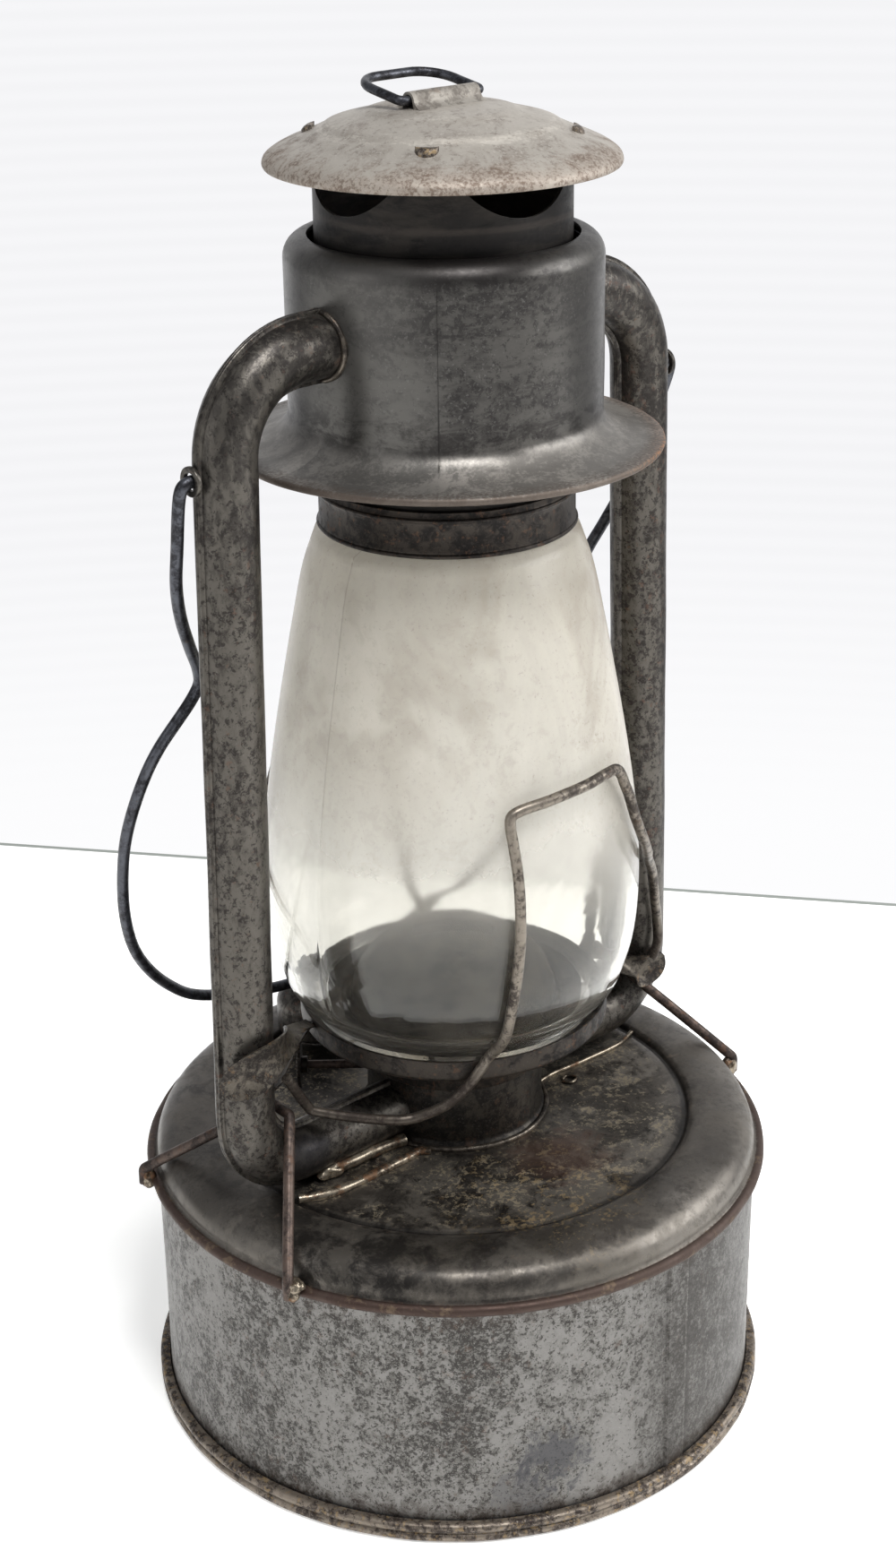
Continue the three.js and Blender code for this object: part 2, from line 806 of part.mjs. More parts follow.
// Left arm of the globe plate: a high tongue in front of the tube and a low one behind it
function plateArm() {
  const high = plateFloor + tongueRise;
  const low = high - tongueStep;
  const arms = join(
    tongue(-1, high),
    armStrip(-1, high + tongueWidth / 2),
    tongue(1, low),
    armStrip(1, low + tongueWidth / 2),
  );
  const rim = disc(plateRadius + seat, plateFloor - plateRimHeight, plateFloor + plateRimHeight, 36);
  return cut(arms, tubeRoom(-1, seat), rim);
}

// Bail ear: an eye soldered to the outer seam of the tube
function earInner(side) {
  return side * (tubeSpread(bailPivot) + tubeRadius + seamFlange + seat);
}

function bailEar(side) {
  const inner = earInner(side);
  const outer = inner + side * earThickness;
  const at = (x) => new THREE.Vector3(x, 0, bailPivot);
  const eye = rod(at(inner), at(outer), earRadius, 20);
  const hole = rod(at(inner - side * overrun), at(outer + side * overrun), bailWire + slip, 16);
  return cut(eye, hole);
}

// Bail: a wire handle with a waist, hung in the ears and leaning back
const bailShares = [
  [0.83, 0.1],
  [0.74, 0.157],
  [0.57, 0.208],
  [0.31, 0.26],
  [0.06, 0.305],
  [0, 0.328],
  [0.1, 0.352],
  [0.6, 0.419],
  [0.8, 0.461],
  [0.97, 0.53],
  [1, 0.59],
  [0.83, 0.696],
  [0.51, 0.779],
  [0.11, 0.836],
];
const bailHookShares = [
  [1, 0],
  [0.3, 0.3],
  [0, 1],
];
const bailFootShares = [
  [0.9, 0.888],
  [0.76, 0.929],
  [0.5, 0.968],
  [0.25, 0.992],
];

function bailSide(side) {
  const inner = Math.abs(earInner(side));
  const top = inner + earThickness + slip + bailWire;
  const wide = Math.max(top, bailWidest);
  const hook = bailHookShares.map(([across, along]) => [top - bailBend * across, bailBend * along]);
  const wing = bailShares.map(([share, along]) => [
    bailWaist + (wide - bailWaist) * share,
    along * bailLength,
  ]);
  const foot = bailFootShares.map(([share, along]) => [bailWaist * share, along * bailLength]);
  return [[inner, 0], ...hook, ...wing, ...foot].map(([reach, along]) => [side * reach, along]);
}

function bailPoint([across, along]) {
  const lean = bailLeanAngle * degree;
  return new THREE.Vector3(across, along * Math.sin(lean), bailPivot - along * Math.cos(lean));
}

function bail() {
  const line = [...bailSide(-1), [0, bailLength], ...bailSide(1).reverse()];
  return bentWire(line.map(bailPoint), bailWire);
}

// Globe
const globeShares = [
  [0.77, 0],
  [0.81, 0.025],
  [0.895, 0.058],
  [0.945, 0.106],
  [0.98, 0.16],
  [1, 0.247],
  [0.993, 0.362],
  [0.964, 0.463],
  [0.92, 0.571],
  [0.865, 0.686],
  [0.795, 0.821],
  [0.736, 0.922],
  [0.67, 0.99],
];

function globeLine() {
  const body = globeShares.map(([radius, height]) => [
    globeBelly * radius,
    globeFoot + globeHeight * height,
  ]);
  return [
    ...body,
    [globeNeckRadius, globeShoulder],
    [globeNeckRadius, globeShoulder + globeNeckHeight],
  ];
}

function globeReach(height) {
  const line = globeLine();
  const above = line.findIndex((point) => point[1] >= height);
  if (above < 1) return above < 0 ? globeNeckRadius : line[0][0];
  const [low, high] = [line[above - 1], line[above]];
  return low[0] + ((high[0] - low[0]) * (height - low[1])) / (high[1] - low[1]);
}

function globe() {
  return turned(sheetOutline(globeLine(), glass));
}

// Rows of azimuth, share of the guard's height and stand-off from the globe in wire radii
const guardShares = [
  [-119, 0.1, 0.2],
  [-114, 0.3, 0.1],
  [-113.5, 0.5, 0.1],
  [-113.5, 0.75, 0.3],
  [-114.5, 0.9, 0.5],
  [-111, 0.96, 0.6],
  [-92, 0.985, 0.7],
  [-76, 1, 0.7],
  [-70.5, 0.97, 0.8],
  [-64, 0.86, 0.9],
  [-45, 0.66, 0.4],
  [-33, 0.48, 2.3],
];
const guardAcrossShare = 0.29;
const guardReachShare = 0.86;

// The low run of the guard before that: azimuth, share of its drop and stand-off in wire radii
const guardRunShares = [
  [178, 0.91, 6.2],
  [-166, 1.05, 4.8],
  [-151, 0.91, 2.8],
  [-137, 0.5, 0],
  [-126, 0.09, 0],
];

// The last turn round the right tube: azimuth and share of its rise
const guardCoilShares = [
  [-98, 1.5],
  [-92, -1],
  [-104, -2],
];

// Guard: one wire that rises in front of the globe, crosses it and comes down to the other tube
function guard() {
  const off = guardWire + 2 * seat;
  const hold = tubeRadius + armThickness + off;
  const onTube = (side, azimuth, height) => tubeCentre(side, height).add(place(azimuth, hold));
  const run = guardRunShares.map(([azimuth, share, stand]) => {
    const reach = plateRadius + off + stand * guardWire;
    return place(azimuth, reach, plateFloor - guardLow * share);
  });
  const front = guardShares.map(([azimuth, share, stand]) => {
    const height = plateFloor + guardTop * share;
    return place(azimuth, globeReach(height) + off + stand * guardWire, height);
  });
  const across = plateFloor + guardTop * guardAcrossShare;
  const coil = guardCoilShares.map(([azimuth, share]) => {
    return onTube(1, azimuth, plateFloor + guardCoil * share);
  });
  const points = [
    onTube(-1, guardStartAzimuth, plateFloor + seamFlange),
    ...run,
    ...front,
    place(guardCrossAzimuth, guardReachShare * tubeSpread(across), across),
    ...coil,
  ];
  return bentWire(points, guardWire);
}

// Brace: a bent wire from the rim of the fount up to the inner side of the tube and down again
function brace(side) {
  const apex = discHeight + braceHeight;
  const inner = tubeSpread(apex) - tubeRadius - seamFlange - 2 * slip - braceWire;
  const reach = rimRadius + seat + braceWire;
  const over = rimHeight + hookRise;
  const corner = (azimuth, height) => {
    const at = place(azimuth, reach, height);
    return new THREE.Vector3(side * at.x, at.y, at.z);
  };
  const corners = [
    corner(-braceFrontAzimuth, over - hookDrop),
    corner(-braceFrontAzimuth, over),
    new THREE.Vector3(side * inner, -braceSpan / 2, apex),
    new THREE.Vector3(side * inner, braceSpan / 2, apex),
    corner(braceBackAzimuth, over),
    corner(braceBackAzimuth, over - hookDrop),
  ];
  const bends = [0, braceBend, braceBend, braceBend, braceBend, 0];
  return wire(new Route(corners, bends, 30), braceWire);
}

// Air chamber with its bell, open below, and rolled in at the top round the chimney
function airChamber() {
  const bell = [
    [bellRadius - bellBead, bellRim],
    [bellRadius, bellRim + bellBead],
    [bellRadius - bellBead, bellRim + 2 * bellBead],
  ];
  const flare = bellFlareShares.map((share) => [
    bellRadius - bellBead - (bellRadius - bellBead - chamberRadius) * Math.sin(share * 90 * degree),
    bellRim + 2 * bellBead + (bellHeight - 2 * bellBead) * (1 - Math.cos(share * 90 * degree)),
  ]);
  const roll = [0, 45, 90].map((angle) => [
    chamberRadius - chamberRound * (1 - Math.cos(angle * degree)),
    chamberTop - chamberRound * (1 - Math.sin(angle * degree)),
  ]);
  const line = [...bell, ...flare, ...roll, [chamberMouth, chamberTop - sheet]];
  const shell = turned(sheetOutline(line, sheet));
  const duct = rod(
    new THREE.Vector3(-chamberRadius - overrun, 0, tubeHeadHeight),
    new THREE.Vector3(chamberRadius + overrun, 0, tubeHeadHeight),
    tubeRadius - sheet,
    16,
  );
  return cut(shell, duct);
}

// Chimney: a tube with four vents under the cap and a tab on each web
const capShares = [
  [1, 0],
  [0.985, 0.15],
  [0.88, 0.34],
  [0.74, 0.55],
  [0.66, 0.63],
  [0.63, 0.7],
  [0.44, 0.86],
  [0.41, 0.92],
  [0, 1],
];

function capLine() {
  return capShares.map(([radius, height]) => [capRadius * radius, capRim + capHeight * height]);
}

function capSurface(radius) {
  const line = capLine();
  const inside = line.findIndex((point) => point[0] <= radius);
  const [high, low] = [line[inside], line[inside - 1]];
  return low[1] + ((high[1] - low[1]) * (low[0] - radius)) / (low[0] - high[0]);
}

function tab(azimuth, width, inner, outer, from, to) {
  const plate = block(outer - inner, width, from, to);
  plate.translate((inner + outer) / 2, 0, 0);
  plate.rotateZ(azimuth * degree);
  return plate;
}

function webAzimuths() {
  return [0, 1, 2, 3].map((quarter) => webAzimuth + quarter * 90);
}

function vent(azimuth) {
  const top = chimneyTop() + overrun;
  const half = chimneyRadius * Math.sin(ventHalfAngle * degree);
  const shape = new THREE.CylinderGeometry(half, half, chimneyRadius, 24);
  shape.rotateZ(90 * degree);
  shape.scale(1, 1, (ventDepth + overrun) / half);
  shape.translate(chimneyRadius, 0, top);
  shape.rotateZ(azimuth * degree);
  return shape;
}

function chimneyTop() {
  return capSurface(chimneyRadius) - capSeat;
}

function chimneyTube() {
  const bottom = globeShoulder + globeNeckHeight + slip;
  const shell = turned([
    [chimneyRadius - sheet, bottom],
    [chimneyRadius, bottom],
    [chimneyRadius, chimneyTop()],
    [chimneyRadius - sheet, chimneyTop()],
  ]);
  const vented = cut(shell, ...webAzimuths().map((azimuth) => vent(azimuth + 45)));
  const inner = chimneyRadius - sheet;
  const bend = capSurface(inner) + seat;
  const tabs = webAzimuths().flatMap((azimuth) => [
    tab(azimuth, tabWidth, inner, chimneyRadius, chamberTop, bend + sheet),
    tab(azimuth, tabWidth, inner, chimneyRadius + tabReach, bend, bend + sheet),
  ]);
  return join(vented, ...tabs);
}

// Ring on the chimney that the spring presses on
function springSeat() {
  const bottom = bellRim + stopHeight;
  const inner = chimneyRadius + seat;
  const outer = chamberRadius - sheet - slip;
  return turned([
    [inner, bottom],
    [outer, bottom],
    [outer, bottom + stopThickness],
    [inner, bottom + stopThickness],
  ]);
}

function cap() {
  const line = [[capRadius, capRim - capDrop], ...capLine()];
  const under = line.map(([radius, height]) => [Math.max(radius - sheet, 0), height - sheet]);
  under[0] = [capRadius - sheet, capRim - capDrop];
  const shell = turned([...line.reverse(), ...under]);
  const top = capTop + overrun;
  const inner = chimneyRadius - sheet - seat;
  const outer = chimneyRadius + seat;
  const width = tabWidth + 2 * seat;
  const slots = webAzimuths().map((azimuth) => tab(azimuth, width, inner, outer, capRim, top));
  return cut(shell, ...slots);
}

// Ring that holds the top of the globe, on the lower end of the chimney
function globeRing() {
  const bottom = globeShoulder + seat;
  const inner = chimneyRadius + seat;
  const outer = inner + ringThickness;
  return turned([
    [inner, bottom],
    [outer + ringBead, bottom],
    [outer + ringBead, bottom + ringBead],
    [outer, bottom + 3 * ringBead],
    [outer, bottom + ringHeight - 5 * ringBead],
    [outer + ringBead, bottom + ringHeight - 4 * ringBead],
    [outer, bottom + ringHeight - 3 * ringBead],
    [outer, bottom + ringHeight],
    [inner, bottom + ringHeight],
  ]);
}

// Spring that presses the chimney down, between the stop flange and the rolled top
class Helix extends THREE.Curve {
  constructor(radius, bottom, top, turns) {
    super();
    Object.assign(this, { radius, bottom, top, turns });
  }
  getPoint(t) {
    return place(360 * this.turns * t, this.radius, this.bottom + (this.top - this.bottom) * t);
  }
  getUtoTmapping(u) {
    return u;
  }
}

function chimneySpring() {
  const bottom = bellRim + stopHeight + stopThickness + seat + springWire;
  const top = chamberTop - sheet - chamberRound / 4 - seat - springWire;
  const middle = (chimneyRadius + chamberRadius - sheet) / 2;
  const pitch = (top - bottom) / springTurns;
  console.log(`chimney spring: gap between turns ${(pitch - 2 * springWire).toFixed(2)} mm`);
  const helix = new Helix(middle, bottom, top, springTurns);
  return wire(helix, springWire, 10 * springTurns, 5);
}

// Lift ring and the bracket that it turns in
function ringAxisHeight() {
  return capTop + seat + bracketSlip + ringWire;
}

function ringBracket() {
  const bore = ringWire + bracketSlip;
  const outer = bore + bracketWall;
  const foot = capTop + seat;
  const axis = ringAxisHeight();
  const shape = new THREE.Shape();
  shape.moveTo(-outer - bracketFoot, foot);
  shape.lineTo(-bore, foot);
  shape.absarc(0, axis, bore, Math.PI, 0, true);
  shape.lineTo(bore, foot);
  shape.lineTo(outer + bracketFoot, foot);
  shape.lineTo(outer + bracketFoot, foot + bracketWall);
  shape.absarc(0, axis, outer, 0, Math.PI, false);
  shape.lineTo(-outer - bracketFoot, foot + bracketWall);
  const body = new THREE.ExtrudeGeometry(shape, {
    depth: bracketLength,
    bevelEnabled: false,
    curveSegments: 8,
  });
  body.translate(0, 0, -bracketLength / 2);
  body.rotateX(90 * degree);
  body.rotateZ(90 * degree);
  return body;
}

function liftRing() {
  const lean = liftRingLeanAngle * degree;
  const point = ([across, along]) =>
    new THREE.Vector3(across, along * Math.cos(lean), ringAxisHeight() + along * Math.sin(lean));
  const corners = [
    [seat, 0],
    [liftRingWidth, 0],
    [liftRingWidth, liftRingLength],
    [-liftRingWidth, liftRingLength],
    [-liftRingWidth, 0],
    [-seat, 0],
  ];
  const bends = [0, liftRingBend, liftRingRound, liftRingRound, liftRingBend, 0];
  return wire(new Route(corners.map(point), bends), ringWire);
}

function addTop() {
  add("air_chamber", airChamber(), cloudyGrey);
  add("chimney_tube", chimneyTube(), cloudyGrey);
  add("spring_seat", springSeat(), cloudyGrey);
  add("chimney_spring", chimneySpring(), blueSteel);
  add("cap", cap(), dustyTan);
  add("globe_ring", globeRing(), rustyWire);
  add("ring_bracket", ringBracket(), dustyTan);
  add("lift_ring", liftRing(), blueSteel);
}

function addGuards() {
  add("guard_front", guard(), rustyWire);
  const rear = guard();
  rear.rotateZ(180 * degree);
  add("guard_rear", rear, rustyWire);
}

add("fount_bottom", fountBottom(), tankGrey);
add("fount_wall", fountWall(), tankGrey);
add("fount_top", fountTop(), sootyBrown);
addFiller();
addBurner();
add("globe_plate", globePlate(), steelGrey);
addTubes();
add("globe", globe(), hazyGlass);
addGuards();
addTop();
add("bail", bail(), blueSteel);

export default lantern;
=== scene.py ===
from math import asin, ceil, cos, degrees, pi, radians, sin, sqrt, tan

import bmesh
import bpy
from mathutils import Matrix, Vector
from mathutils.noise import noise


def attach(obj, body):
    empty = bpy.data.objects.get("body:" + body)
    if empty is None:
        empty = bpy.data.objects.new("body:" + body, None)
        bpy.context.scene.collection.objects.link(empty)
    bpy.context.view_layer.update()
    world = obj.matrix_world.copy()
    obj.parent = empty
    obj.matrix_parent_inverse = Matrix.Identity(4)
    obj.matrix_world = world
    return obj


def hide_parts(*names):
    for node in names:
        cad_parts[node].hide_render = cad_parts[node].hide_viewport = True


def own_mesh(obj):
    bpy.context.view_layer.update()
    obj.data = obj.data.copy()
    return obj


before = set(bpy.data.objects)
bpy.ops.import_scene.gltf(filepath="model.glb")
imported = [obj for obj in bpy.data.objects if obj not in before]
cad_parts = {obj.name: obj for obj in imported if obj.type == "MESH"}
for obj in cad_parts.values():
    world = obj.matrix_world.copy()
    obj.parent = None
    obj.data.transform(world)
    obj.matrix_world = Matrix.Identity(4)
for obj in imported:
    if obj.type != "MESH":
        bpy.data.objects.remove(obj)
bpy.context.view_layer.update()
scene = bpy.context.scene
mm = 0.001  # all sizes below are in millimetres, meshes are in metres
print("lantern: frame loaded")


# Nodes

class Signal:
    # one output socket, which can stand in sums like a number
    def __init__(self, board, socket):
        self.board = board
        self.socket = socket

    def worked(self, operation, first, second):
        return self.board.node("Math", {"operation": operation}, {0: first, 1: second})

    def __add__(self, other):
        return self.worked("ADD", self, other)

    def __radd__(self, other):
        return self.worked("ADD", other, self)

    def __sub__(self, other):
        return self.worked("SUBTRACT", self, other)

    def __rsub__(self, other):
        return self.worked("SUBTRACT", other, self)

    def __mul__(self, other):
        return self.worked("MULTIPLY", self, other)

    def __rmul__(self, other):
        return self.worked("MULTIPLY", other, self)


def tone(shade):
    # a colour as seen on a screen, in six hex digits, turned into scene light
    def light(value):
        value /= 255
        return value / 12.92 if value <= 0.04045 else ((value + 0.055) / 1.055) ** 2.4
    return [light(value) for value in bytes.fromhex(shade)] + [1.0]


def lighter(shade, step):
    return bytes(min(value + step, 255) for value in bytes.fromhex(shade)).hex()


class Board:
    # a node tree that grows by calls; lengths and angles come out in millimetres and degrees
    def __init__(self, tree):
        self.tree = tree
        tree.nodes.clear()

    def node(self, kind, settings=None, sockets=None, output=0):
        made = self.tree.nodes.new(kind if "Node" in kind else "ShaderNode" + kind)
        for name, value in (settings or {}).items():
            setattr(made, name, value)
        for key, value in (sockets or {}).items():
            if isinstance(value, Signal):
                self.tree.links.new(value.socket, made.inputs[key])
            else:
                made.inputs[key].default_value = tone(value) if isinstance(value, str) else value
        return Signal(self, made.outputs[output]) if made.outputs else made

    def place(self, stretch=None):
        spot = self.node("TexCoord", output="Object")
        return self.node("Mapping", None, {"Vector": spot, "Scale": stretch}) if stretch else spot

    def vector(self, operation, first, second=(0, 0, 0), output=0):
        return self.node("VectorMath", {"operation": operation}, {0: first, 1: second}, output)

    def grain(self, scale, detail=4, rough=0.6, bend=0.0, stretch=None):
        return self.node("TexNoise", None, {
            "Vector": self.place(stretch), "Scale": scale, "Detail": detail,
            "Roughness": rough, "Distortion": bend})

    def part(self, axis):
        return self.node("SeparateXYZ", None, {0: self.place()}, output=axis) * 1000

    def turn(self):
        angle = self.node("Math", {"operation": "ARCTAN2"}, {0: self.part("Y"), 1: self.part("X")})
        return angle * (180 / pi)

    def reach(self):
        flat = self.vector("MULTIPLY", self.place(), (1, 1, 0))
        return self.vector("LENGTH", flat, output="Value") * 1000

    def rise(self, value, low, high):
        # from 0 at low to 1 at high
        return self.node("MapRange", {"interpolation_type": "SMOOTHSTEP"}, {
            "Value": value, "From Min": low, "From Max": high})

    def band(self, value, low, lowFull, high, highFull):
        # rises from low to lowFull and falls again from highFull to high
        return self.rise(value, low, lowFull) * self.rise(value, high, highFull)

    def near(self, centre, stir, spread, far, close):
        # full within close of a point and gone beyond far, its edge stirred by a noise
        away = self.vector("DISTANCE", self.place(), [value * mm for value in centre], "Value") * 1000
        return self.rise(away + (stir - 0.5) * spread, far, close)

    def paint(self, amount, first, second):
        return self.node("Mix", {"data_type": "RGBA"}, {0: amount, 6: first, 7: second}, output=2)

    def lay(self, amount, shade):
        self.colour = self.paint(amount, self.colour, shade)

    def relief(self, height, strength, depth):
        return self.node("Bump", None, {"Height": height, "Strength": strength, "Distance": depth * mm})

    def shader(self, roughness, metallic, fixed):
        return self.node("BsdfPrincipled", None, {
            "Base Color": self.colour, "Roughness": roughness, "Metallic": metallic, **fixed})

    def finish(self, shader):
        self.node("OutputMaterial", None, {"Surface": shader})


def newBoard(name):
    material = bpy.data.materials.new(name)
    material.use_nodes = True
    return Board(material.node_tree)


# Metals

# tones are light, middle, dark and rust; clouds are soft patches, blots are branching stains a few mm wide,
# specks and dots are the fine grain, drift and clumps gather stains and dots
wornDefaults = dict(
    tones="96938e 76736f 3e3a38 684834", cloudScale=26, blotScale=190, speckScale=900, rustScale=240,
    blotFrom=0.46, blotTo=0.62, blotAmount=0.5, speckAmount=0.55, fleckAmount=0.2, rustFrom=0.62, rustTo=0.70,
    rustAmount=0.5, roughness=0.42, roughSpread=0.22, metallic=0.75, relief=0.08, stretch=None, drift=0.7,
    dotsFrom=0.52, clumps=0.3)


def wornMetal(name, marks=None, **look):
    look = {**wornDefaults, **look}
    light, middle, dark, rusty = look["tones"].split()
    coat = newBoard(name)
    cloud = coat.grain(look["cloudScale"], 3, 0.55, 0.4, look["stretch"])
    blot = coat.grain(look["blotScale"], 6, 0.7, 0.5, look["stretch"])
    speck = coat.grain(look["speckScale"], 3, 0.65)
    drift = (cloud - 0.5) * look["drift"]
    pale = coat.rise(blot * 0.7 + cloud * 0.3, 0.40, 0.62)
    stain = coat.rise(blot + drift, look["blotFrom"], look["blotTo"]) * look["blotAmount"]
    fine = coat.grain(look["speckScale"] * 0.45, 5, 0.75, 0.3)
    dotField = fine + (blot - 0.5) * look["clumps"] + drift * 0.6
    dots = coat.rise(dotField, look["dotsFrom"], look["dotsFrom"] + 0.045) * look["speckAmount"]
    flecks = coat.rise(speck - (blot - 0.5) * 0.4, 0.40, 0.33) * look["fleckAmount"]
    rustField = coat.grain(look["rustScale"], 5, 0.65) + (speck - 0.5) * 0.3 + (cloud - 0.5) * 0.3
    rust = coat.rise(rustField, look["rustFrom"], look["rustTo"]) * look["rustAmount"]
    coat.colour = coat.paint(pale, light, middle)
    coat.lay(stain, dark)
    coat.lay(dots, dark)
    coat.lay(flecks, lighter(light, 34))
    coat.lay(rust, rusty)
    coat.roughness = look["roughness"] + stain * look["roughSpread"] + rust * 0.2 + (speck - 0.5) * 0.2
    if marks:
        marks(coat, speck, cloud, blot)
    metallic = look["metallic"] - rust * 0.5 * look["metallic"]
    normal = coat.relief(blot * 0.6 + speck * 0.4, 0.5, look["relief"])
    coat.finish(coat.shader(coat.roughness, metallic, {"Normal": normal}))


def wallMarks(coat, speck, cloud, blot):
    # one dark blue-grey patch low on the front, a painted highlight and painted shade along the lap, painted
    # shade on the right, darker brown blots near the foot and under the rim
    coat.lay(coat.near((-37.5, -83.5, 25), blot, 44, 12, 5) * 0.75, "3e3e42")
    coat.lay(coat.near((-46, -79, 14), blot, 50, 11, 4) * 0.5, "424144")
    turn = coat.turn() + (speck - 0.5) * 0.5
    # painted highlight on the lap's raised edge, then painted shade just beside it
    coat.lay(coat.band(turn, -86.1, -85.7, -84.9, -85.3) * 0.6, "a6a39e")
    coat.lay(coat.band(turn, -85.2, -84.9, -83.4, -84.6) * 0.6, "383533")
    # painted shade over the right of the front, broken up by grit
    paintedShadeRight = coat.rise(turn + (cloud - 0.5) * 24, -106, -84) * coat.rise(turn, -46, -66)
    grit = coat.rise(coat.grain(760, 6, 0.8, 0.3), 0.44, 0.56)
    coat.lay(paintedShadeRight * (0.38 + grit * 0.5), "403d3a")
    # darker brown blots towards the foot and under the rim bead
    tall = coat.part("Z") + (speck - 0.5) * 8 + (cloud - 0.5) * 8
    edge = coat.rise(tall, 14, 6) * 0.55 + coat.rise(tall, 70, 79) * 0.6
    coat.lay(edge * coat.rise(blot, 0.42, 0.55), "423832")


def topMarks(coat, speck, cloud, blot):
    # bare zinc shows on the shoulder away from the burner, rust on the front of the disc, a painted
    # reflection makes the right of the disc paler
    reach = coat.reach()
    wear = coat.rise(reach + (cloud - 0.5) * 50 + (blot - 0.5) * 40, 70, 96)
    turn = coat.turn() + (cloud - 0.5) * 36
    side = coat.band(turn, -124, -96, 60, -30)
    left = coat.rise(coat.part("X") + (cloud - 0.5) * 40, -46, -90)
    bare = wear * (side * 0.85 + left * 0.4 + 0.05)
    coat.lay(bare, "847f78")
    smudge = coat.band(turn, -168, -158, -128, -140) * coat.rise(blot, 0.34, 0.52)
    coat.lay(smudge * wear * 0.85, "1a1817")
    disc = coat.rise(reach, 70, 64)
    mottle = coat.grain(150, 10, 0.8, 0.4)
    greyness = coat.rise(coat.grain(44, 5, 0.6, 0.5) + (mottle - 0.5) * 1.1, 0.44, 0.62)
    flakes = coat.rise(coat.grain(300, 9, 0.8, 0.3) + (cloud - 0.5) * 0.3, 0.50, 0.60) * (1.0 - disc)
    coat.lay(flakes * 0.34, "2e2b28")
    coat.lay(greyness * (disc * 0.34 + 0.26), "7e786f")
    # painted reflection of the back wall, paler on the right of the disc, mixed with grey patches
    paintedLightEast = coat.rise(coat.part("X") + (cloud - 0.5) * 50, -24, 46)
    coat.lay(paintedLightEast * disc * (0.25 + greyness * 0.4), "847f77")
    fields = coat.rise(cloud + (blot - 0.5) * 0.6, 0.38, 0.54)
    sparks = coat.rise(speck + (mottle - 0.5) * 1.3, 0.57, 0.62) * fields
    coat.lay(sparks * disc * 0.8, "9e937e")
    coat.lay(coat.rise(mottle, 0.44, 0.36) * disc * 0.6, "12100f")
    scatter = coat.rise(speck + (blot - 0.5) * 0.9, 0.56, 0.66)
    coat.lay(coat.near((-16, -52, 90), cloud, 40, 34, 10) * scatter * 0.8, "968262")
    coat.lay(coat.near((2, -44, 90), blot, 40, 18, 6) * 0.45, "624232")
    coat.lay(coat.band(reach, 68.6, 69.8, 72.0, 70.9) * 0.7, "141211")
    rim = coat.rise(reach + (speck - 0.5) * 1.6, 91.8, 92.8)
    coat.lay(rim * 0.85, "4a3a34")
    coat.lay(rim * coat.rise(blot, 0.54, 0.62) * 0.6, "786856")
    coat.roughness = coat.roughness + rim * 0.15 + bare * 0.10 + greyness * 0.14


def tubeMarks(coat, speck, cloud, blot):
    # painted shade in the crook of the left foot, soot on both elbows
    # painted shade: a dark patch in the crook of the left foot
    coat.lay(coat.near((-63, -8, 101), blot, 12, 10, 5) * 0.8, "222124")
    elbow = coat.rise(coat.part("Z") + (cloud - 0.5) * 50, 262, 306) * coat.rise(blot, 0.38, 0.56)
    coat.lay(elbow * 0.6, "302d2b")


def chamberMarks(coat, speck, cloud, blot):
    # a dark lap line down the front, a rusty turned rim, scuffs on the bell, painted light on the bell and on
    # the drum's sides
    tall = coat.part("Z")
    turn = coat.turn()
    lap = coat.band(turn, -134.6, -134.3, -133.6, -133.9)
    coat.lay(lap * (coat.rise(tall, 330, 312) * 0.6 + 0.08), "242221")
    bell = coat.rise(tall + (speck - 0.5) * 4, 311, 304)
    scuff = coat.rise(coat.grain(70, 6, 0.7, 0.5) + (speck - 0.5) * 0.5, 0.42, 0.62)
    # painted light: the whole bell a little paler, its right side more, real scuffs added on top
    light = coat.rise(turn + (cloud - 0.5) * 20, -140, -104)
    coat.lay(bell * (0.14 + light * 0.3 + scuff * 0.42), "a6a19a")
    top = coat.rise(tall + (cloud - 0.5) * 10 + (blot - 0.5) * 8, 349, 354.5)
    front = coat.band(turn + (cloud - 0.5) * 30, -190, -160, -80, -108)
    coat.lay(top * (0.15 + front * 0.65), "282524")
    # painted light: the drum made paler on its left and right sides
    paintedLightWest = coat.rise(coat.part("X") + (cloud - 0.5) * 16, -26, -40)
    paintedLightEast = coat.rise(coat.part("Y") * -1.0 + (cloud - 0.5) * 16, 24, 42) * coat.rise(coat.part("X"), -10, 20)
    coat.lay((paintedLightWest + paintedLightEast) * 0.30, "807e7a")
    rim = coat.rise(tall + (speck - 0.5) * 1.4, 301.4, 300.6)
    coat.lay(rim * 0.7, "56483e")
    coat.lay(rim * coat.rise(coat.part("X"), 5, 40) * coat.rise(speck, 0.45, 0.6), "9e7454")
    foot = coat.rise(tall + (cloud - 0.5) * 10, 318, 311) * coat.rise(tall, 304, 310)
    coat.lay(foot * coat.rise(blot, 0.4, 0.6) * 0.6, "2a2726")
    coat.roughness = coat.roughness + rim * 0.15 + bell * 0.15 + top * 0.08


def chimneyMarks(coat, speck, cloud, blot):
    # sooty where the tube slides in the chamber, a paler line above it, the painted highlight of a faint bead
    tall = coat.part("Z") + (cloud - 0.5) * 3
    soot = coat.rise(tall, 361.5, 359)
    coat.lay(soot * 0.6, "141111")
    smear = coat.rise(coat.grain(90, 7, 0.72, 0.8, (0.5, 0.5, 2.2)), 0.44, 0.62)
    coat.lay(smear * 0.26, "443e37")
    # painted highlight of a faint bead round the tube
    coat.lay(coat.band(tall, 361, 362, 363.6, 362.6) * 0.35, "463f3a")
    coat.roughness = coat.roughness + soot * 0.1


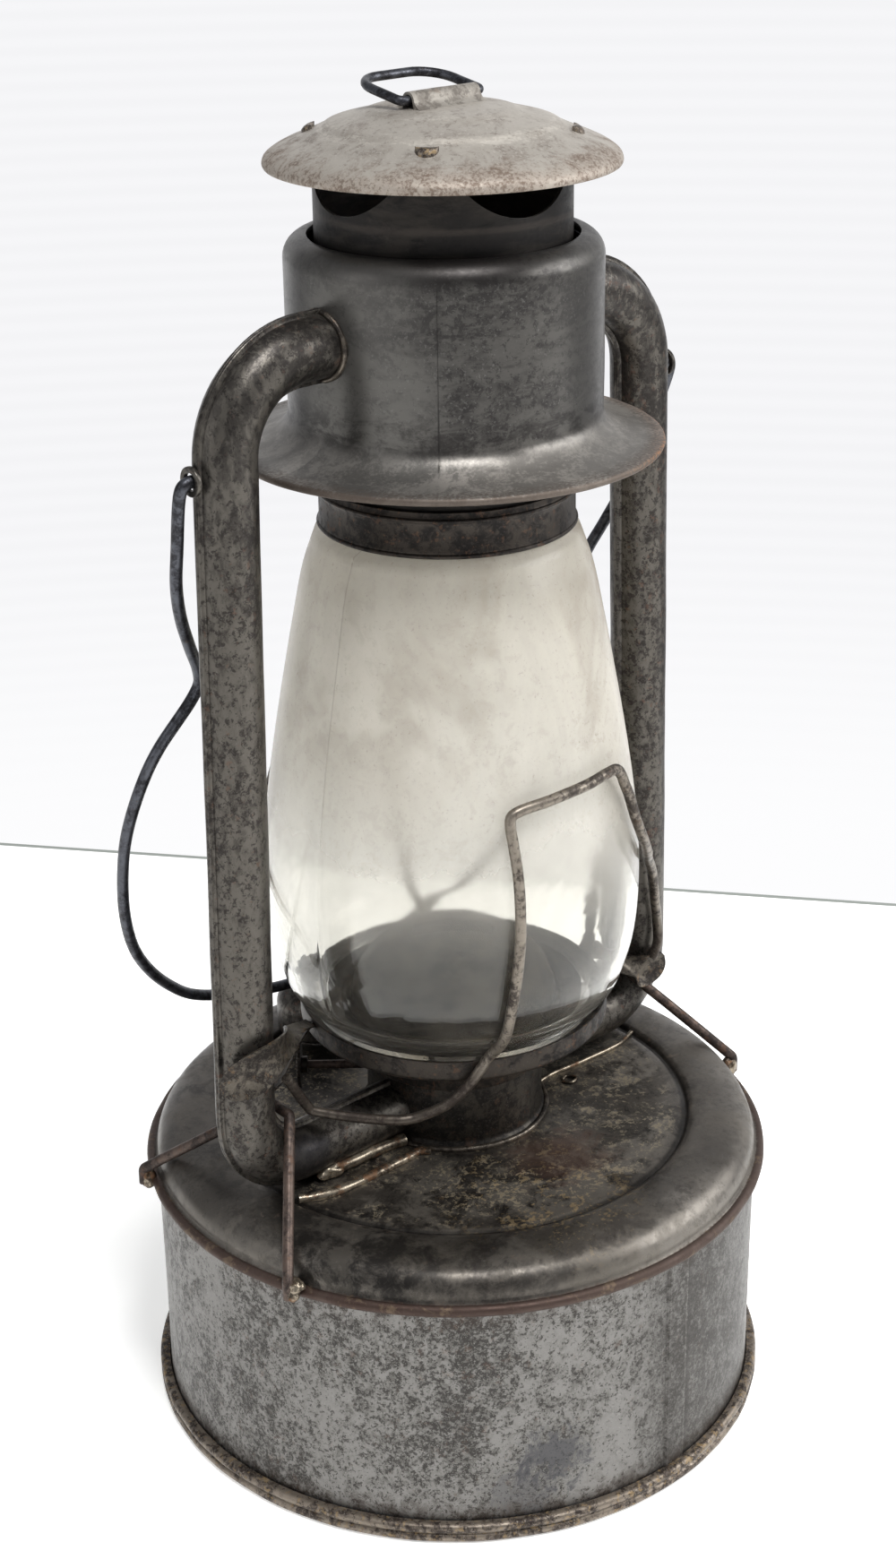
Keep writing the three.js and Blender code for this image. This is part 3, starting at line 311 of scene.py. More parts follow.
def capMarks(coat, speck, cloud, blot):
    # scuffed bright along the steps, rusty brown towards the rim
    reach = coat.reach()
    streak = coat.grain(190, 6, 0.72, 0.0, (0.3, 0.3, 3.0))
    steps = coat.band(reach, 27, 30, 36, 32) + coat.band(reach, 15, 18, 24, 21)
    coat.lay(steps * coat.rise(streak + (speck - 0.5) * 0.4, 0.50, 0.62) * 0.55, "cec8be")
    rim = coat.rise(reach + (blot - 0.5) * 22 + (cloud - 0.5) * 10, 38, 47)
    coat.lay(rim * 0.4, "8a7a6c")
    coat.lay(rim * coat.rise(speck + (blot - 0.5) * 0.5, 0.5, 0.6) * 0.55, "5c483a")
    coat.roughness = coat.roughness + rim * 0.1


def guardMarks(coat, speck, cloud, blot):
    # sooty brown below the plate, where the wire runs along the burner
    coat.lay(coat.rise(coat.part("Z") + (blot - 0.5) * 10, 134, 124) * 0.72, "322a25")


def domeMarks(coat, speck, cloud, blot):
    # wiped streaks of soot
    swirl = coat.rise(coat.grain(70, 5, 0.65, 2.2, (1.0, 1.0, 1.8)), 0.42, 0.60)
    coat.lay(swirl * 0.55, "5c554c")
    coat.roughness = coat.roughness + swirl * 0.15


wornMetal("zincWall", wallMarks, tones="807e7b 686662 302d2b 684834", blotScale=260,
          speckScale=1800, blotFrom=0.50, blotAmount=0.24, speckAmount=0.80, drift=0.5, fleckAmount=0.4,
          rustAmount=0.2, clumps=0.34, roughness=0.45, stretch=(1.0, 1.0, 0.8))
wornMetal("sootyTop", topMarks, tones="56514b 3c3834 1a1716 604a3a", cloudScale=24, blotScale=120,
          speckScale=820, blotFrom=0.42, blotTo=0.64, blotAmount=0.55, speckAmount=0.3, dotsFrom=0.55,
          fleckAmount=0.12, rustFrom=0.63, rustTo=0.72, rustAmount=0.4, roughness=0.31, roughSpread=0.16,
          metallic=0.78, relief=0.05)
wornMetal("tubeZinc", tubeMarks, tones="5a5650 47433e 262220 5c4234", cloudScale=32, blotScale=330,
          speckScale=1300, blotTo=0.60, blotAmount=0.28, speckAmount=0.8, dotsFrom=0.51, drift=0.5,
          rustFrom=0.60, rustTo=0.68, rustScale=420, roughness=0.38, relief=0.12, stretch=(1.0, 1.0, 0.55))
wornMetal("cloudyChamber", chamberMarks, tones="504e4b 403e3c 282626 544036", cloudScale=20,
          blotScale=110, speckScale=1100, blotFrom=0.42, blotTo=0.70, blotAmount=0.40, speckAmount=0.6,
          dotsFrom=0.525, fleckAmount=0.35, drift=0.5, rustFrom=0.68, rustTo=0.78, rustAmount=0.3,
          roughness=0.31, roughSpread=0.14, relief=0.05, stretch=(1.0, 1.0, 2.2))
wornMetal("darkChimney", chimneyMarks, tones="1f1c1a 151312 0b0a0a 2a201b", cloudScale=30,
          blotScale=110, blotAmount=0.4, speckAmount=0.3, fleckAmount=0.05, rustFrom=0.58, rustTo=0.68,
          rustAmount=0.4, roughness=0.45, metallic=0.65, stretch=(1.0, 1.0, 2.4))
wornMetal("dustyCap", capMarks, tones="b0aaa1 a09990 6c625a 806c5c", cloudScale=18,
          blotScale=120, speckScale=1100, blotFrom=0.50, blotTo=0.72, blotAmount=0.28, speckAmount=0.42,
          dotsFrom=0.555, fleckAmount=0.35, rustTo=0.72, rustScale=420, rustAmount=0.22, roughness=0.50,
          metallic=0.5, relief=0.05, drift=0.4)
wornMetal("greyWire", guardMarks, tones="867e73 605850 302a27 685242", cloudScale=45, blotScale=420,
          blotTo=0.60, blotAmount=0.6, rustAmount=0.4, metallic=0.7, relief=0.16)
wornMetal("burnerSoot", domeMarks, tones="3e3832 2e2a25 141211 3a2f25", cloudScale=46, blotScale=90,
          blotAmount=0.75, speckAmount=0.4, roughness=0.58, metallic=0.92)
wornMetal("rustyLip", tones="847a6e 60564e 2e2724 947e5c", cloudScale=34, blotScale=280,
          speckScale=1250, blotAmount=0.55, speckAmount=0.8, fleckAmount=0.45, rustFrom=0.57, rustTo=0.64,
          rustScale=480, rustAmount=0.65, metallic=0.65, relief=0.15)
wornMetal("pittedRing", tones="38322c 241f1c 120f0e 563d2b", cloudScale=38, blotScale=230,
          blotFrom=0.44, blotTo=0.60, blotAmount=0.6, rustScale=420, rustFrom=0.58, rustTo=0.64,
          rustAmount=0.55, roughness=0.45, metallic=0.65, relief=0.16)
wornMetal("blueWire", tones="54565c 3a3a3f 201f22 524238", cloudScale=40, blotScale=300,
          rustFrom=0.64, rustTo=0.72, roughness=0.38, metallic=0.8)
wornMetal("rustyWire", tones="5c4e46 423732 221c1a 684c3a", cloudScale=40, blotScale=300,
          rustFrom=0.56, rustTo=0.68, roughness=0.48, metallic=0.6, relief=0.12)
wornMetal("darkBrass", tones="5c5242 443c30 26211c 463a2e", cloudScale=40, blotScale=180, metallic=0.8)
wornMetal("armSteel", tones="5c564d 403a34 221e1c 70583e", cloudScale=55, blotScale=340,
          speckScale=1300, speckAmount=0.8, dotsFrom=0.51, rustScale=300, rustFrom=0.58, rustTo=0.66,
          metallic=0.7, relief=0.14)
wornMetal("bracketZinc", tones="969189 807a72 524b45 705c4c", cloudScale=60, blotScale=260,
          blotAmount=0.3, speckAmount=0.5, dotsFrom=0.54, rustAmount=0.3, roughness=0.55, metallic=0.35)
wornMetal("collarSoot", tones="3c3832 2a2623 151312 543e2e", cloudScale=40, blotScale=260,
          speckScale=1200, speckAmount=0.6, fleckAmount=0.35, rustFrom=0.60, rustTo=0.66, rustAmount=0.4,
          roughness=0.40, metallic=0.7, relief=0.1)
wornMetal("softSolder", tones="968c7c 625648 342c26 765438", cloudScale=90, blotScale=240,
          blotAmount=0.65, rustAmount=0.6, rustFrom=0.52, rustTo=0.62, roughness=0.30, metallic=0.8,
          relief=0.2)
wornMetal("sootySolder", tones="6e665c 48413a 221e1c 70543c", cloudScale=70, blotScale=260,
          blotAmount=0.6, rustAmount=0.4, roughness=0.34, relief=0.2)


def cottonWick():
    # woven in both directions, charred at the top
    board = newBoard("cottonWick")
    across, along = (board.node("TexWave", {"bands_direction": direction}, {
        "Vector": board.place(), "Scale": scale, "Distortion": bend}, output="Fac")
        for direction, scale, bend in (("Z", 260, 1.2), ("DIAGONAL", 300, 0.8)))
    thread = across * 0.5 + along * 0.5
    soil = board.grain(150)
    board.colour = board.paint(thread, "786e5c", "b0a692")
    board.lay(board.rise(soil, 0.4, 0.7) * 0.5, "625440")
    board.lay(board.rise(board.part("Z") + (soil - 0.5) * 3, 137, 139) * 0.9, "181514")
    board.finish(board.shader(0.85 + thread * 0.1, 0.0, {"Normal": board.relief(thread, 0.6, 0.3)}))


def oilyLeather():
    board = newBoard("oilyLeather")
    cell = board.node("TexVoronoi", {"feature": "DISTANCE_TO_EDGE"}, {
        "Vector": board.place(), "Scale": 900}, output="Distance")
    soil = board.grain(220)
    board.colour = board.paint(soil, "4a3222", "765438")
    board.finish(board.shader(0.5 + soil * 0.2, 0.0, {"Normal": board.relief(cell, 0.5, 0.2)}))


# Glass

glassLook = {
    "hazeFoot": 192.0,       # height at which the smoky film thins out
    "hazeFade": 34.0,
    "clear": "f0efea",
    "film": "ede8de",
    "filmAmount": 0.52,
    "ior": 1.4,              # a little under clean glass, because the dirt dulls its mirror
    "glow": 0.3,             # share of the film that passes the light of the wall behind
    "scatter": 0.07,         # a painted glow: the film gives off light of its own
    "seamAzimuth": -174.5,
}


def hazyGlass():
    # clear pressed glass under a smoky film that thins out near the foot
    board = newBoard("hazyGlass")
    tall = board.part("Z")
    cloud = board.grain(20, 4, 0.6, 0.8)
    wipe = board.grain(34, 5, 0.62, 0.6, (1.0, 1.0, 0.35))
    dust = board.grain(900, 3, 0.7)
    grime = board.grain(210, 6, 0.75, 0.4)
    foot, fade, seam = glassLook["hazeFoot"], glassLook["hazeFade"], glassLook["seamAzimuth"]
    height = board.rise(tall + (cloud - 0.5) * 24, foot - fade, foot + fade)
    film = height * (0.87 + (wipe - 0.5) * 0.7 + (grime - 0.5) * 0.1)
    film = film + 0.045 + (wipe - 0.5) * 0.14 + (grime - 0.5) * 0.08
    waves = board.relief(cloud, 0.25, 0.8)
    board.colour = glassLook["clear"]
    clear = board.shader(0.02 + film * 0.20, 0.0, {
        "Normal": waves, "IOR": glassLook["ior"], "Transmission Weight": 1.0})
    stain = board.rise(cloud + (wipe - 0.5) * 0.6, 0.50, 0.66) * board.rise(tall, 190, 240)
    board.colour = board.paint(stain * 0.6, glassLook["film"], "beb5a8")
    board.lay(board.rise(grime + (cloud - 0.5) * 0.4, 0.50, 0.66) * 0.3, "b0a89c")
    board.lay(board.rise(tall + (cloud - 0.5) * 30, 246, 282) * 0.4, "d0c7b6")
    board.lay(board.rise(dust, 0.58, 0.74) * 0.36, "80786a")
    turn = board.turn() + (cloud - 0.5) * 1.5
    board.lay(board.band(turn, seam - 0.6, seam, seam + 0.6, seam) * 0.4, "80786c")
    # the film's shader gives off a painted glow in its own colour
    dusty = board.shader(0.55 + dust * 0.3, 0.0, {
        "Normal": waves, "Specular IOR Level": 0.35, "Emission Color": board.colour,
        "Emission Strength": glassLook["scatter"]})
    glow = board.node("BsdfTranslucent", None, {"Color": board.colour, "Normal": waves})
    lit = board.node("MixShader", None, {0: glassLook["glow"], 1: dusty, 2: glow})
    board.finish(board.node("MixShader", None, {0: film * glassLook["filmAmount"], 1: clear, 2: lit}))


cottonWick()
oilyLeather()
hazyGlass()
print("lantern: materials made")


# Mesh tools

def polar(azimuth, reach, height=0.0):
    return Vector((reach * cos(radians(azimuth)), reach * sin(radians(azimuth)), height))


def ripple(spot, size):
    # smooth bumps about as wide as size, from -1 to 1
    return noise(Vector([value / size for value in spot]))


def clamped(value):
    return min(max(value, 0.0), 1.0)


def turnFrom(angle, azimuth):
    return (angle - azimuth + 180) % 360 - 180


def placed(name, data, *materials):
    made = bpy.data.objects.new(name, data)
    scene.collection.objects.link(made)
    for material in materials:
        data.materials.append(bpy.data.materials[material])
    return made


def worked(mesh, crease, *steps):
    # runs steps on a mesh and marks its sharp edges
    body = bmesh.new()
    body.from_mesh(mesh)
    for step in steps:
        step(body)
    for face in body.faces:
        face.smooth = True
    for edge in body.edges:
        edge.smooth = len(edge.link_faces) == 2 and edge.calc_face_angle(0.0) <= radians(crease)
    body.to_mesh(mesh)
    body.free()


def weld(body):
    bmesh.ops.remove_doubles(body, verts=body.verts, dist=1e-7)
    bmesh.ops.dissolve_degenerate(body, edges=body.edges, dist=1e-8)
    bmesh.ops.recalc_face_normals(body, faces=body.faces)


def meshPiece(name, points, faces, material, crease=38):
    mesh = bpy.data.meshes.new(name)
    mesh.from_pydata([[value * mm for value in point] for point in points], [], faces)
    worked(mesh, crease, weld)
    return placed(name, mesh, material)


def gridFaces(rows, count, ring=False):
    # quads between rings of points; the last ring meets the first again if asked
    faces = []
    for row in range(rows if ring else rows - 1):
        base, after = row * count, (row + 1) % rows * count
        for step in range(count):
            other = (step + 1) % count
            faces.append((base + step, after + step, after + other, base + other))
    return faces


def skin(name, rows, material, crease, flatEnds=False):
    # a closed skin over rings of points; each ring runs there and back, unless its ends are flat
    count = len(rows[0])
    faces = gridFaces(len(rows), count)
    for base in (0, (len(rows) - 1) * count):
        if flatEnds:
            faces.append(tuple(range(base, base + count)))
        else:
            faces += [(base + step, base + step + 1, base + count - 2 - step, base + count - 1 - step)
                      for step in range(count // 2 - 1)]
    return meshPiece(name, [point for row in rows for point in row], faces, material, crease)


def turned(name, line, material, sides=224, change=None, extraAngles=(), crease=38):
    # turns a closed outline of radius and height about the axis
    angles = sorted([360 * side / sides for side in range(sides)] + [angle % 360 for angle in extraAngles])
    points = []
    for angle in angles:
        for reach, height in line:
            if change:
                reach, height = change(angle, reach, height)
            points.append(polar(angle, reach, height))
    return meshPiece(name, points, gridFaces(len(angles), len(line), True), material, crease)


def rounded(line, radius, steps=4):
    # softens the corners of an outline
    made = []
    for index, corner in enumerate(line):
        here = Vector(corner)
        before = Vector(line[index - 1]) - here
        after = Vector(line[(index + 1) % len(line)]) - here
        reach = min(radius, before.length * 0.48, after.length * 0.48)
        start = here + before.normalized() * reach
        end = here + after.normalized() * reach
        for step in range(steps + 1):
            share = step / steps
            made.append(tuple(start * (1 - share) ** 2 + here * 2 * share * (1 - share) + end * share ** 2))
    return made


def smoothLine(points, steps):
    # a smooth centripetal curve through points of two or more values
    points = [Vector(point) for point in points]
    held = [points[0] * 2 - points[1]] + points + [points[-1] * 2 - points[-2]]
    made = []
    for index in range(len(points) - 1):
        a, b, c, d = held[index:index + 4]
        gaps = [max((q - p).length ** 0.5, 1e-4) for p, q in ((a, b), (b, c), (c, d))]
        leave = ((b - a) / gaps[0] - (c - a) / (gaps[0] + gaps[1]) + (c - b) / gaps[1]) * gaps[1]
        arrive = ((c - b) / gaps[1] - (d - b) / (gaps[1] + gaps[2]) + (d - c) / gaps[2]) * gaps[1]
        for step in range(steps):
            t = step / steps
            made.append(b * (2 * t ** 3 - 3 * t ** 2 + 1) + leave * (t ** 3 - 2 * t ** 2 + t)
                        + c * (-2 * t ** 3 + 3 * t ** 2) + arrive * (t ** 3 - t ** 2))
    return [tuple(point) for point in made + [points[-1]]]


def innerLine(line, thickness):
    # the line at the sheet's thickness to the left of an outline, which runs back
    inner = []
    for index, (reach, height) in enumerate(line):
        before = Vector(line[max(index - 1, 0)])
        along = (Vector(line[min(index + 1, len(line) - 1)]) - before).normalized()
        inner.append((reach - along.y * thickness(height), height + along.x * thickness(height)))
    return inner[::-1]


def arcLine(centre, radius, start, end, steps, tall=None):
    # an arc in the plane of radius and height, angles in degrees from outwards
    angles = [radians(start + (end - start) * step / steps) for step in range(steps + 1)]
    return [(centre[0] + radius * cos(angle), centre[1] + (tall or radius) * sin(angle)) for angle in angles]


def route(corners, bends, stepAngle, gap):
    # straight runs joined by round bends: a list of points and directions
    corners = [Vector(corner) for corner in corners]
    stops = [(corners[0], (corners[1] - corners[0]).normalized())]
    for before, corner, after, radius in zip(corners, corners[1:], corners[2:] + corners[:1], bends[1:]):
        arrive = (corner - before).normalized()
        fresh = [(corner, arrive)]
        if radius:
            leave = (after - corner).normalized()
            turn = arrive.angle(leave)
            inward = (leave - arrive * arrive.dot(leave)).normalized()
            start = corner - arrive * radius * tan(turn / 2)
            steps = max(ceil(degrees(turn) / stepAngle), 1)
            fresh = []
            for angle in [turn * step / steps for step in range(steps + 1)]:
                at = start + arrive * radius * sin(angle) + inward * radius * (1 - cos(angle))
                fresh.append((at, arrive * cos(angle) + inward * sin(angle)))
        last, along = stops[-1]
        parts = max(int((fresh[0][0] - last).length / gap), 1)
        stops += [(last.lerp(fresh[0][0], part / parts), along) for part in range(1, parts)] + fresh
    return stops


def baked(piece):
    # keeps what the modifiers made as the plain mesh
    mesh = bpy.data.meshes.new_from_object(piece.evaluated_get(bpy.context.evaluated_depsgraph_get()))
    old = piece.data
    piece.modifiers.clear()
    piece.data = mesh
    bpy.data.meshes.remove(old)
    mesh.name = piece.name
    return mesh


def cutAway(piece, cutter):
    modifier = piece.modifiers.new("cut", "BOOLEAN")
    modifier.operation = "DIFFERENCE"
    modifier.solver = "EXACT"
    modifier.object = cutter
    worked(baked(piece), 38)
    bpy.data.objects.remove(cutter)
    return piece


def rodAlongX(start, end, radius, height, material, sides=48):
    rod = turned("cutter", [(0, start), (radius, start), (radius, end), (0, end)], material, sides)
    rod.data.transform(Matrix.Translation((0, 0, height * mm)) @ Matrix.Rotation(pi / 2, 4, "Y"))
    return rod


def smallBar(name, centre, size, material, bevel):
    # a little bar with its edges rounded off
    points = [[place + sign * length / 2 for place, sign, length in zip(centre, signs, size)]
              for signs in ((x, y, z) for x in (-1, 1) for y in (-1, 1) for z in (-1, 1))]
    faces = [(0, 1, 3, 2), (4, 6, 7, 5), (0, 4, 5, 1), (2, 3, 7, 6), (0, 2, 6, 4), (1, 5, 7, 3)]
    piece = meshPiece(name, points, faces, material)
    worked(piece.data, 40, lambda body: bmesh.ops.bevel(
        body, geom=body.edges[:], offset=bevel * mm, segments=2, affect="EDGES", profile=0.5))
    return piece


def seatPiece(piece, body, slot, *nodes):
    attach(piece, body)
    if nodes:
        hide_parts(*nodes)
    return piece


# Geometry node trees

def newTree(name, *inputs):
    # inputs are pairs of a label and the kind of its socket
    tree = bpy.data.node_groups.new(name, "GeometryNodeTree")
    tree.interface.new_socket(name="Geometry", in_out="OUTPUT", socket_type="NodeSocketGeometry")
    for label, kind in (("Geometry", "Geometry"), *inputs, ("Finish", "Material")):
        tree.interface.new_socket(name=label, in_out="INPUT", socket_type="NodeSocket" + kind)
    board = Board(tree)
    return tree, board, lambda label: board.node("NodeGroupInput", output=label)


def closeTree(board, take, geometry):
    real = board.node("GeometryNodeRealizeInstances", None, {"Geometry": geometry})
    board.node("NodeGroupOutput", None, {0: board.node("GeometryNodeSetMaterial", None, {
        "Geometry": real, "Material": take("Finish")})})


def sweep(board, take, curve, radius, sides, thickness=1.0):
    # a round wire along a curve
    profile = board.node("GeometryNodeCurvePrimitiveCircle", {"mode": "RADIUS"}, {
        "Resolution": sides, "Radius": radius})
    mesh = board.node("GeometryNodeCurveToMesh", None, {
        "Curve": curve, "Profile Curve": profile, "Scale": thickness, "Fill Caps": True})
    closeTree(board, take, board.node("GeometryNodeSetShadeSmooth", None, {
        "Geometry": mesh, "Shade Smooth": True}))


def wireTree():
    # a round wire along a polyline, a little wavy or lumpy if asked
    tree, board, take = newTree("wireAlongPath", ("Radius", "Float"), ("Sides", "Int"), ("Wave", "Float"),
                                ("Lumps", "Float"), ("Lump scale", "Float"), ("Seed", "Float"))

    def field(seed, scale, detail, output):
        spot = board.node("GeometryNodeInputPosition")
        return board.node("TexNoise", {"noise_dimensions": "4D"}, {
            "Vector": spot, "W": seed, "Scale": scale, "Detail": detail}, output)

    curve = board.node("GeometryNodeMeshToCurve", None, {"Mesh": take("Geometry")})
    drift = board.vector("SUBTRACT", field(take("Seed"), 55.0, 1.0, "Color"), (0.5, 0.5, 0.5))
    drift = board.node("VectorMath", {"operation": "SCALE"}, {0: drift, "Scale": take("Wave")})
    curve = board.node("GeometryNodeSetPosition", None, {"Geometry": curve, "Offset": drift})
    lump = field(take("Seed") + 7.0, take("Lump scale"), 2.0, 0)
    sweep(board, take, curve, take("Radius"), take("Sides"), 1.0 + (lump - 0.5) * take("Lumps") * 2.0)
    return tree


def springTree():
    # a round wire wound evenly from its foot up
    labels = ("Turns", "Coil radius", "Height", "Foot", "Wire")
    tree, board, take = newTree("woundSpring", *[(label, "Float") for label in labels])
    spiral = board.node("GeometryNodeCurveSpiral", None, {
        "Resolution": 40, "Rotations": take("Turns"), "Start Radius": take("Coil radius"),
        "End Radius": take("Coil radius"), "Height": take("Height"), "Reverse": True})
    lift = board.node("CombineXYZ", None, {"Z": take("Foot")})
    raised = board.node("GeometryNodeTransform", None, {"Geometry": spiral, "Translation": lift})
    sweep(board, take, raised, take("Wire"), 12)
    return tree


def ringTree():
    # copies of one shape, evenly round the axis
    tree, board, take = newTree("evenlyRound", ("Count", "Int"), ("First angle", "Float"))
    points = board.node("GeometryNodePoints", None, {"Count": take("Count")})
    index = board.node("GeometryNodeInputIndex")
    step = board.node("Math", {"operation": "DIVIDE"}, {0: 2 * pi, 1: take("Count")})
    turn = board.node("CombineXYZ", None, {"Z": take("First angle") + index * step})
    closeTree(board, take, board.node("GeometryNodeInstanceOnPoints", None, {
        "Points": points, "Instance": take("Geometry"), "Rotation": turn}))
    return tree


trees = {"wire": wireTree(), "spring": springTree(), "ring": ringTree()}
wireSeed = [0]


def grown(piece, tree, values, crease=50):
    # runs a tree on a piece, with the piece's own material
    modifier = piece.modifiers.new(tree, "NODES")
    modifier.node_group = trees[tree]
    values["Finish"] = piece.data.materials[0]
    for item in trees[tree].interface.items_tree:
        if item.in_out == "INPUT" and item.name in values:
            modifier[item.identifier] = values[item.name]
    worked(baked(piece), crease, weld)
    return piece


def wirePiece(name, points, radius, material, closed=False, wave=0.0, lumps=0.0, lumpScale=260.0, sides=16):
    mesh = bpy.data.meshes.new(name)
    edges = [(index, (index + 1) % len(points)) for index in range(len(points) - (not closed))]
    mesh.from_pydata([[value * mm for value in point] for point in points], edges, [])
    wireSeed[0] += 1
    return grown(placed(name, mesh, material), "wire", {
        "Radius": radius * mm, "Sides": sides, "Wave": wave * mm, "Lumps": lumps,
        "Lump scale": lumpScale, "Seed": 3.7 * wireSeed[0]})


# Fount

fount = {
    "wallRadius": 91.5, "sheet": 0.8, "footRadius": 95.0, "rimRadius": 94.8, "rimHeight": 80.0,
    "discHeight": 89.8, "lapAzimuth": -88.0, "lapHalf": 2.2, "lapRise": 0.7, "dent": 0.35, "wallFoot": 1.1,
    "rows": 22,
    "shoulder": [(91.6, 81.5), (91.3, 83.4), (90.1, 86.2), (87.7, 88.6), (84.2, 89.95), (79.5, 90.5),
                 (75, 90.6), (72.6, 90.35)],
    "groove": [(71.6, 89.9), (70.9, 89.25), (70.3, 89.15), (69.4, 89.5), (68.2, 89.8)],
    "under": [(14.4, 89.0), (69, 89.0), (70.5, 88.3), (75, 89.7), (84, 89.0), (88.6, 85.6), (90.5, 80.4),
              (91.8, 80.2)],
}


def fountWall():
    foot, top, lap, rows = fount["wallFoot"], fount["rimHeight"] - 0.3, fount["lapAzimuth"], fount["rows"]
    outer = [(fount["wallRadius"], foot + (top - foot) * row / rows) for row in range(rows + 1)]
    inner = [(reach - fount["sheet"], height) for reach, height in outer]

    def change(angle, reach, height):
        if reach < fount["wallRadius"] - 0.1:
            return reach, height
        raised = fount["lapRise"] * (1 - clamped((abs(turnFrom(angle, lap)) - fount["lapHalf"]) / 0.35))
        calm = min((height - foot) / 8, (top - height) / 8, 1)
        return reach + raised + fount["dent"] * ripple(polar(angle, reach, height * 0.6), 34) * calm, height

    near = [lap + sign * spread for sign in (-1, 1) for spread in (1.1, 1.9, 2.2, 2.32, 2.44, 2.56, 2.9)]
    return turned("fountWall", outer + inner[::-1], "zincWall", 224, change, near)


def fountFoot():
    # the bottom pan, its edge rolled twice round the foot of the wall
    edge = fount["footRadius"]
    low = arcLine((edge - 1.55, 1.55), 1.55, -90, 62, 7)
    high = arcLine((edge - 1.5, 4.5), 1.5, -62, 100, 7)
    line = [(0, 0), (80, 0), (91.6, 0)] + low + high + [(91.9, 5.9), (91.85, 0.85), (80, 0.8), (0, 0.8)]

    def change(angle, reach, height):
        share = clamped((reach - 92.5) / 1.5)
        return reach + 0.22 * share * (ripple(polar(angle, reach, height), 11) - 0.6), height
    return turned("fountFoot", line, "rustyLip", 288, change)


def fountTop():
    bead = arcLine((fount["rimRadius"] - 1.7, fount["rimHeight"] - 0.8), 1.7, -80, 118, 10)
    disc = [(reach, fount["discHeight"]) for reach in (*range(66, 14, -4), 14.4)]
    upper = bead + smoothLine(fount["shoulder"], 4) + smoothLine(fount["groove"], 3) + disc

    def change(angle, reach, height):
        if height < 83.5 and reach > 90:
            share = clamped((reach - 92) / 1.5)
            return reach + 0.2 * share * (ripple(polar(angle, reach, height), 13) - 0.8), height
        dip = 0.30 * (ripple(polar(angle, reach, 40), 26) - 0.7)
        return reach, height + dip * clamped((reach - 31) / 8) * clamped((91.5 - reach) / 5)
    return turned("fountTop", [(91.8, 77.4)] + upper + fount["under"], "sootyTop", 256, change)


seatPiece(fountWall(), "lantern", "tank_sheet", "fount_wall")
seatPiece(fountFoot(), "lantern", "tank_sheet", "fount_bottom")
seatPiece(fountTop(), "lantern", "tank_top", "fount_top")


filler = {"reach": 63.0, "azimuth": 92.0, "capRadius": 13.5, "capFoot": 92.4, "skirt": 8.0, "dome": 8.2,
          "ribs": 40, "neck": [(9.2, 85.8), (10, 85.8), (10, 90.9), (12.5, 90.9), (12.5, 91.7), (10, 91.7),
                               (10, 98.8), (9.2, 98.8)]}


def fillerPieces():
    foot, radius = filler["capFoot"], filler["capRadius"]
    top = foot + filler["skirt"] + 0.8
    neck = turned("fillerNeck", rounded(filler["neck"], 0.25, 2), "zincWall", 72)
    line = [(0, 101.0), (11.4, 101.0), (11.4, foot), (12.9, foot), (radius, foot + 0.5), (radius, top - 0.3)]
    dome = arcLine((0, top), radius, 0, 84, 14, filler["dome"]) + [(0, top + filler["dome"])]
    cap = turned("fillerCap", line + dome, "tubeZinc", 96)
    rib = smallBar("fillerCapRibs", (radius - 0.25, 0, foot + 4.4), (0.55, 0.75, 6.6), "tubeZinc", 0.2)
    grown(rib, "ring", {"Count": filler["ribs"], "First angle": 0.0})
    for piece in (neck, cap, rib):
        piece.data.transform(Matrix.Translation(polar(filler["azimuth"], filler["reach"]) * mm))
    seatPiece(neck, "lantern", "tank_sheet", "filler_neck")
    seatPiece(cap, "filler_cap", "tube_sheet", "filler_cap")
    seatPiece(rib, "filler_cap", "tube_sheet")


fillerPieces()
print("lantern: fount made")


# Burner

burner = {"shaftAzimuth": 138.3, "shaftHeight": 106.8, "shaftOffset": 5.5, "shaftRadius": 1.3,
          "shaftReach": 48.0, "knobRadius": 7.3, "knobThickness": 1.2, "knobTeeth": 36, "drumHoles": 20,
          "drumFoot": 97.5,
          "drumRadius": 17.6, "domeFoot": 127.5, "domeRadius": 31.0, "domeHeight": 23.0, "sheet": 0.8,
          "ductRadius": 7.75, "ductHeight": 98.65}


def alongShaft(distance):
    away = polar(burner["shaftAzimuth"] + 90, burner["shaftOffset"], burner["shaftHeight"])
    return away + polar(burner["shaftAzimuth"], distance)


def burnerCollar():
    line = rounded([(25.7, 90.1), (28.1, 90.1), (26.6, 91.9), (26.5, 112.1), (25.7, 112.1)], 0.7)
    collar = turned("burnerCollar", line, "collarSoot", 128)
    return cutAway(collar, rodAlongX(-35, 35, burner["ductRadius"], burner["ductHeight"], "collarSoot"))


def globePlate():
    # ledge with its turned-up rim, throat and neck
    line = [(46, 130.5), (46, 124.6), (45.2, 123.7), (44.2, 123.6), (34, 123.6), (27.6, 116.2), (27.6, 110.0),
            (26.8, 110.0), (26.8, 116.4), (30, 126.4), (30, 127.2), (33.4, 127.2), (34.4, 128.0),
            (45.2, 128.0), (45.2, 130.5)]
    return turned("globePlate", rounded(line, 0.6, 3), "pittedRing", 144)


def burnerDome():
    # domed cone with the slot that the flame burns in
    foot, height, sheet = burner["domeFoot"], burner["domeHeight"], burner["sheet"]
    outer = arcLine((0, foot + sheet), burner["domeRadius"], 0, 84, 14, height)
    outer.append((0.0, foot + sheet + height))
    inner = [(max(reach - sheet, 0.0), tall - sheet) for reach, tall in outer]
    dome = turned("burnerDome", [(32.6, foot), (32.6, foot + sheet)] + outer + inner[::-1], "burnerSoot", 112)
    slot = smallBar("cutter", (0, 0, 154), (24, 8, 22), "burnerSoot", 2.0)
    slot.data.transform(Matrix.Rotation(radians(burner["shaftAzimuth"]), 4, "Z"))
    return cutAway(dome, slot)


